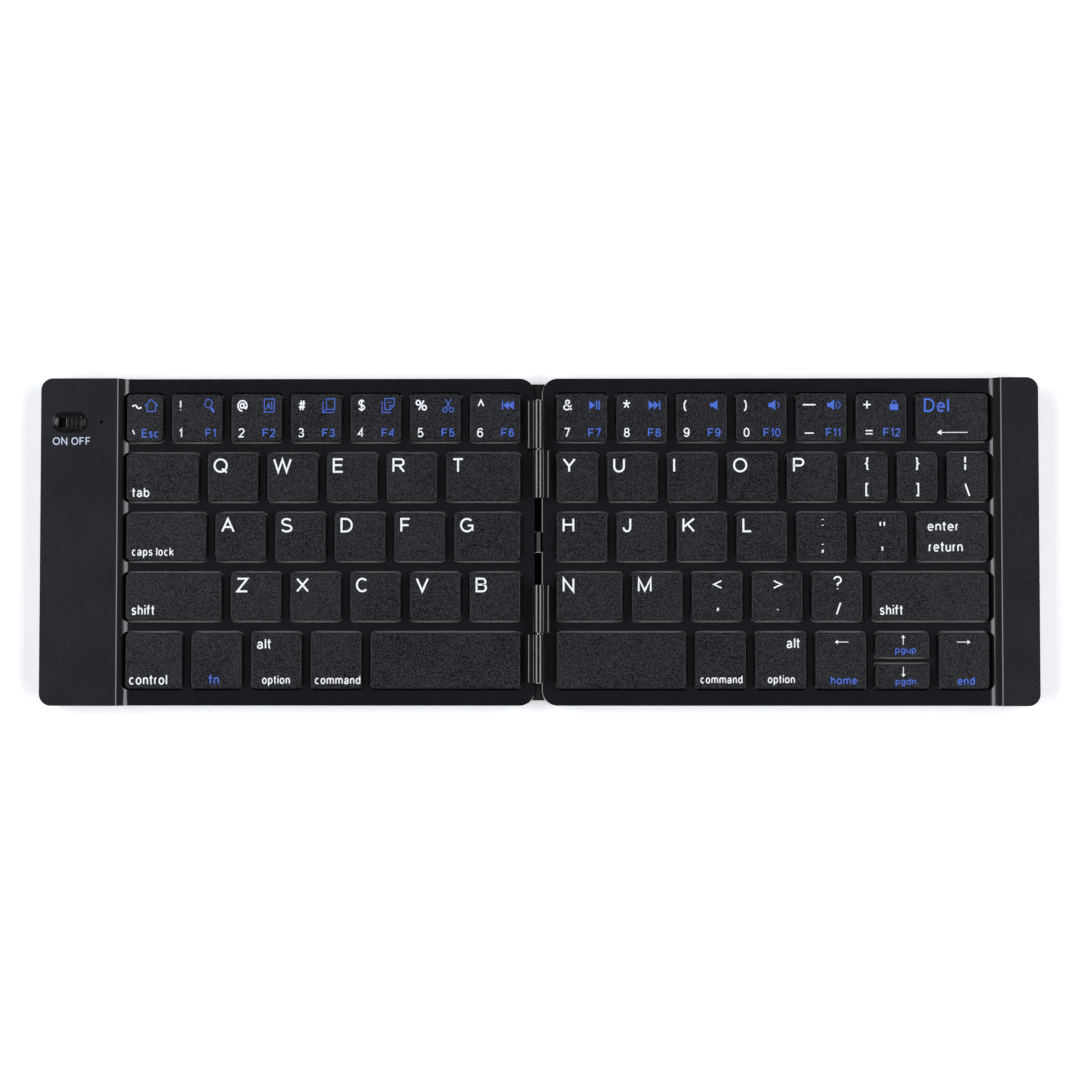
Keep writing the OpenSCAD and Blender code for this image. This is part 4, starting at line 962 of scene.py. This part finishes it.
def leaf_outline(low, high):
    """A leaf's section across the hinge, as the right half has it: (distance from the axis, height)."""
    far = max(-low[0], high[0])
    points = [(RISER_NEAR, low[2]), (far, low[2]), (far, low[2] + LEAF_T), (RISER_FAR, low[2] + LEAF_T)]
    points += arc(RISER_FAR - SHOULDER, AXIS_Z, SHOULDER, 0, 90, 6)
    meet = math.degrees(math.asin(SHOULDER / KNUCKLE_R))
    points += arc(0, AXIS_Z, KNUCKLE_R, meet, 270, 36)
    return points + [(RISER_NEAR, AXIS_Z - KNUCKLE_R)]


for half, sign in (("left", -1), ("right", 1)):
    bm = bmesh.new()
    for low, high in boxes_of(half + "_hinge_leaves"):
        walls = []
        for points in (leaf_outline(low, high), arc(0, AXIS_Z, BORE_R, 0, 360, 24)[:-1]):
            walls.append([[bm.verts.new((sign * x, y, z)) for x, z in points] for y in (low[1], high[1])])
            skin(bm, walls[-1])
        for outline, bore in zip(*walls):
            fill(bm, outline, bore)
    merge_flat(bm, 0.5)
    leaves = piece(half + "_leaves_rolled", bm, half + "_half", "hinge", half + "_hinge_leaves")
    bevelled(leaves, LEAF_EDGE, 2, limit_method="ANGLE", angle_limit=math.radians(50))


def turned(bm, profile, side):
    """A pin along Y, on the hinge axis, of rings (radius, distance from the middle of the keyboard)."""
    rings = []
    for radius, y in profile:
        rings.append([(x, side * y, AXIS_Z + z) for x, z in arc(0, 0, radius, 0, 360, 28)[:-1]])
    loft(bm, rings)


def ends_along(low, high):
    """Which side of the middle a solid is on along Y, and how far out its two ends are."""
    return math.copysign(1, low[1]), *sorted((abs(low[1]), abs(high[1])))


bm = bmesh.new()
for low, high in boxes_of("hinge_pins"):
    side, inner, outer = ends_along(low, high)
    head = outer - PIN_HEAD_T
    profile = [(PIN_R - PIN_ROUND, inner), (PIN_R, inner + PIN_ROUND), (PIN_R, head), (PIN_HEAD_R, head)]
    profile += [(PIN_HEAD_R * x, outer - PIN_HEAD_T / 2 * (1 - y)) for x, y in arc(0, 0, 1, 0, 80, 6)]
    turned(bm, profile, side)
piece("hinge_pins_turned", bm, "left_half", "screw", "hinge_pins")

# ---- Seals and cable ----

HINGE_CORNER_R = 3.8 * MM  # of the case, where the halves meet
SEAL_LOW_H = 0.8 * MM  # between the hinges
SEAL_ROUND = 0.3 * MM
SEAL_FLARE = 0.8  # of the room that the rounded corners leave
SEAL_STEPS = 24
STEP_L = 0.01 * MM  # of the seal's step up at the hinges
HINGES_FROM = min(abs(y) for box in boxes_of("left_hinge_leaves") for y in (box[0][1], box[1][1]))


def seal_section(low, high, y, tall):
    """The seal's section across the gap, at a distance y from the middle. It flares at the case's corner."""
    into_corner = max(y - (TRAY_HIGH[1] - HINGE_CORNER_R), 0)
    flare = SEAL_FLARE * (HINGE_CORNER_R - math.sqrt(HINGE_CORNER_R ** 2 - into_corner ** 2))
    x0, x1, r = low[0] - flare, high[0] + flare, SEAL_ROUND
    top = high[2] - flare / 2 if tall else low[2] + SEAL_LOW_H
    points = [(x0, low[2]), (x1, low[2])] + arc(x1 - r, top - r, r, 0, 90, 4)
    return points + arc(x0 + r, top - r, r, 90, 180, 4)


bm = bmesh.new()
for low, high in boxes_of("gap_seals"):
    side, inner, outer = ends_along(low, high)
    tall_rows = [HINGES_FROM + (outer - HINGES_FROM) * i / SEAL_STEPS for i in range(SEAL_STEPS + 1)]
    places = [(inner, False), (HINGES_FROM - STEP_L, False)] + [(y, True) for y in tall_rows]
    loft(bm, [[(x, side * y, z) for x, z in seal_section(low, high, y, tall)] for y, tall in places])
piece("gap_seal_strips", bm, "left_half", "seal", "gap_seals")

# The flexible cable: a thin ribbon with a loop between the halves
CABLE_T = 0.26 * MM
LOOP_R, LOOP_FOOT_R = 0.6 * MM, 0.4 * MM
LEFT_POINTS, RIGHT_POINTS = (-60, -30, -12, -6, -3, -1.8), (1.8, 3, 6)  # mm, beside the loop
low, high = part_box("flex_cable")
flat_z, top_z = low[2] + CABLE_T / 2, high[2] - CABLE_T / 2
foot = LOOP_R + LOOP_FOOT_R
path = [(low[0], flat_z)] + [(x * MM, flat_z) for x in LEFT_POINTS]
path += arc(-foot, flat_z + LOOP_FOOT_R, LOOP_FOOT_R, -90, 0, 5) + arc(0, top_z - LOOP_R, LOOP_R, 180, 0, 12)
path += arc(foot, flat_z + LOOP_FOOT_R, LOOP_FOOT_R, 180, 270, 5)
path += [(x * MM, flat_z) for x in RIGHT_POINTS] + [(high[0], flat_z)]
corners = (1, low[1]), (1, high[1]), (-1, high[1]), (-1, low[1])  # face of the ribbon, place along Y
rows = []
for i, (x, z) in enumerate(path):
    way = Vector(path[min(i + 1, len(path) - 1)]) - Vector(path[max(i - 1, 0)])
    across = Vector((-way.y, way.x)).normalized() * (CABLE_T / 2)
    rows.append([(x + s * across.x, y, z + s * across.y) for s, y in corners])
bm = bmesh.new()
loft(bm, rows)
ribbon = piece("flex_ribbon", bm, None, "cable", "flex_cable")
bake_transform(ribbon)

# ---- Screws ----

SCREW_HEAD_H = 0.5 * MM
SHANK_R = 0.69 * MM
HEAD_ROUND = 0.12 * MM, 0.1 * MM  # in from its side, up from its face
TIP_L = 0.2 * MM
CROSS_ARM, CROSS_THIN = 0.62, 0.2  # half its length and its width, for a head of radius 1
CROSS_DEEP = 0.32 * MM
CROSS_TAPER = 0.8


def add_screw(bm, low, high):
    """A screw with a cross recess in its head, which faces down."""
    cx, cy, z0 = (low[0] + high[0]) / 2, (low[1] + high[1]) / 2, low[2]
    head_r = (high[0] - low[0]) / 2
    arm, thin = head_r * CROSS_ARM, head_r * CROSS_THIN
    cross = [(thin, thin), (thin, arm), (-thin, arm), (-thin, thin), (-arm, thin), (-arm, -thin),
             (-thin, -thin), (-thin, -arm), (thin, -arm), (thin, -thin), (arm, -thin), (arm, thin)]
    recess = []
    for s, z in ((1, z0), (CROSS_TAPER, z0 + CROSS_DEEP)):
        recess.append([bm.verts.new((cx + s * x, cy + s * y, z)) for x, y in cross])
    skin(bm, recess)
    bm.faces.new(recess[1])
    shape = [(head_r - HEAD_ROUND[0], z0), (head_r, z0 + HEAD_ROUND[1]), (head_r, z0 + SCREW_HEAD_H)]
    shape += [(SHANK_R, z0 + SCREW_HEAD_H), (SHANK_R, high[2] - TIP_L), (SHANK_R - TIP_L, high[2])]
    rows = [[bm.verts.new(point) for point in circle(cx, cy, radius, z)] for radius, z in shape]
    skin(bm, rows)
    fill(bm, rows[0], recess[0])
    bm.faces.new(rows[-1])


for half in ("left", "right"):
    bm = bmesh.new()
    for low, high in boxes_of(half + "_screws"):
        add_screw(bm, low, high)
    piece(half + "_screws_turned", bm, half + "_half", "screw", half + "_screws")

# ---- Rubber domes and links under the keys ----

MAT_T = 0.3 * MM
MAT_CORNER_R, MAT_ROUND = 1 * MM, 0.1 * MM
DOME_R = 2.9 * MM
DOME_SHAPE = [(1, 0), (0.95, 0.1), (0.83, 0.45), (0.67, 0.72), (0.6, 0.8), (0.59, 0.97), (0.55, 1)]


def add_dome(bm, low, high, base):
    """The rubber dome under the middle of a cap, of rings (share of its radius, share of its height)."""
    radius = min(DOME_R, (high[0] - low[0]) / 2 - SKIRT_T, (high[1] - low[1]) / 2 - SKIRT_T)
    tall = high[2] - CAP_TOP_T - base
    middle = (low[0] + high[0]) / 2, (low[1] + high[1]) / 2
    loft(bm, [circle(*middle, r * radius, base + z * tall, 24) for r, z in DOME_SHAPE])


for half in ("left", "right"):
    low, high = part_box(half + "_dome_sheet")
    base = low[2] + MAT_T
    bm = bmesh.new()
    shape = (0, low[2]), (0, base - MAT_ROUND), (MAT_ROUND, base)
    loft(bm, [ring(low, high, [MAT_CORNER_R] * 4, inset, z) for inset, z in shape])
    piece(half + "_rubber_mat", bm, half + "_half", "dome", half + "_dome_sheet")

    links = cad_mesh(half + "_scissor_links")
    merge_flat(links)
    links.verts.index_update()
    found = [(box_of(verts), {v.index for v in verts}) for verts in solids(links)]
    stands_for = [half + "_scissor_links"]
    for node, keys in KEYS.items():
        if (keys[0][1][0] < 0) != (half == "left"):
            continue
        wanted = set()
        for (a, b), indices in found:
            cx, cy = (a[0] + b[0]) / 2, (a[1] + b[1]) / 2
            if any(low[0] < cx < high[0] and low[1] < cy < high[1] for _, low, high in keys):
                wanted |= indices
        bm = links.copy()
        bmesh.ops.delete(bm, geom=[v for v in bm.verts if v.index not in wanted], context="VERTS")
        for face in bm.faces:
            face.material_index = 1
        for _, low, high in keys:
            add_dome(bm, low, high, base)
        springs = piece(node + "_springs", bm, half + "_half", "dome", *stands_for,
                        materials=[MATERIALS["dome"], MATERIALS["link"]])
        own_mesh(springs)
        stands_for = []
    links.free()

for name, node in frame["nodes"].items():
    if not node.hide_render:
        node.data.materials.clear()
        node.data.materials.append(MATERIALS[material_of(name)])

# ---- Stage ----

FLOOR_SIZE = 12.0
VIEW_DISTANCE = 0.6
VIEW_TILT = math.radians(2.3)  # how far the camera leans to the front
VIEW_YAW = math.radians(0.7)  # and to the right
VIEW_WIDTH = 270.5 * MM  # across the picture, at the key tops
VIEW_AIM = Vector((0.38 * MM, 0.38 * MM, 7.5 * MM))
SENSOR = 36
FLOOR_GLOW = 0.32
STRIP_X, STRIP_Y, STRIP_Z = 0.91, 0.1, 1.02
STRIP_WIDTH, STRIP_LENGTH = 0.64, 1.5
STRIP_WATTS = 15
COOL = (0.93, 0.96, 1)
HORIZON = 0.35, (0.14, 0.14, 0.14, 1)  # height in the sky and colour
OVERHEAD = 0.7, (0.03, 0.03, 0.033, 1)


def floor():
    """A white surface that glows a little, for the camera alone."""
    bm = bmesh.new()
    half = FLOOR_SIZE / 2
    corners = (-half, -half), (half, -half), (half, half), (-half, half)
    bm.faces.new([bm.verts.new((x, y, 0)) for x, y in corners])
    mesh = bpy.data.meshes.new("floor")
    bm.to_mesh(mesh)
    bm.free()
    obj = add_object("floor", mesh)
    nodes = Nodes("pale_floor")
    nodes.put("Base Color", (0.9, 0.9, 0.9, 1))
    nodes.put("Roughness", 0.9)
    nodes.put("Specular IOR Level", 0.1)
    nodes.put("Emission Color", (1, 1, 1, 1))
    path = nodes.tree.nodes.new("ShaderNodeLightPath")
    nodes.put("Emission Strength", nodes.spread(path.outputs["Is Camera Ray"], 0, FLOOR_GLOW, 0, 1))
    mesh.materials.append(nodes.material)
    obj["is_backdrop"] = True


def camera():
    """Looks down on the keyboard, a little from the front right."""
    data = bpy.data.cameras.new("camera")
    data.sensor_width = SENSOR
    data.lens = SENSOR * VIEW_DISTANCE / VIEW_WIDTH
    data.clip_start = 0.01
    obj = add_object("camera", data)
    obj.rotation_euler = (VIEW_TILT, VIEW_YAW, 0)
    back = Vector((0, 0, VIEW_DISTANCE))
    back.rotate(obj.rotation_euler)
    obj.location = VIEW_AIM + back
    bpy.context.scene.camera = obj


def strip(name, middle):
    """A long soft box that faces the keyboard."""
    data = bpy.data.lights.new(name, "AREA")
    data.shape = "RECTANGLE"
    data.size = STRIP_WIDTH
    data.size_y = STRIP_LENGTH
    data.energy = STRIP_WATTS
    data.color = COOL
    obj = add_object(name, data)
    obj.location = middle
    obj.rotation_euler = (-Vector(middle)).to_track_quat("-Z", "X").to_euler()


def world():
    """Pale near the horizon and dark overhead."""
    made = bpy.data.worlds.new("studio")
    bpy.context.scene.world = made
    made.use_nodes = True
    tree = made.node_tree
    where = tree.nodes.new("ShaderNodeTexCoord")
    split = tree.nodes.new("ShaderNodeSeparateXYZ")
    ramp = tree.nodes.new("ShaderNodeValToRGB")
    tree.links.new(where.outputs["Generated"], split.inputs[0])
    tree.links.new(split.outputs["Z"], ramp.inputs["Fac"])
    tree.links.new(ramp.outputs["Color"], tree.nodes["Background"].inputs["Color"])
    for element, (position, colour) in zip(ramp.color_ramp.elements, (HORIZON, OVERHEAD)):
        element.position = position
        element.color = colour


floor()
camera()
world()
strip("left_strip", (-STRIP_X, STRIP_Y, STRIP_Z))
strip("right_strip", (STRIP_X, -STRIP_Y, STRIP_Z))

bpy.context.scene.view_settings.view_transform = "Standard"
boxes = {"cad": cad_box, "visual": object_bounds()}
{k: [list(corner) for corner in box] for k, box in boxes.items()}
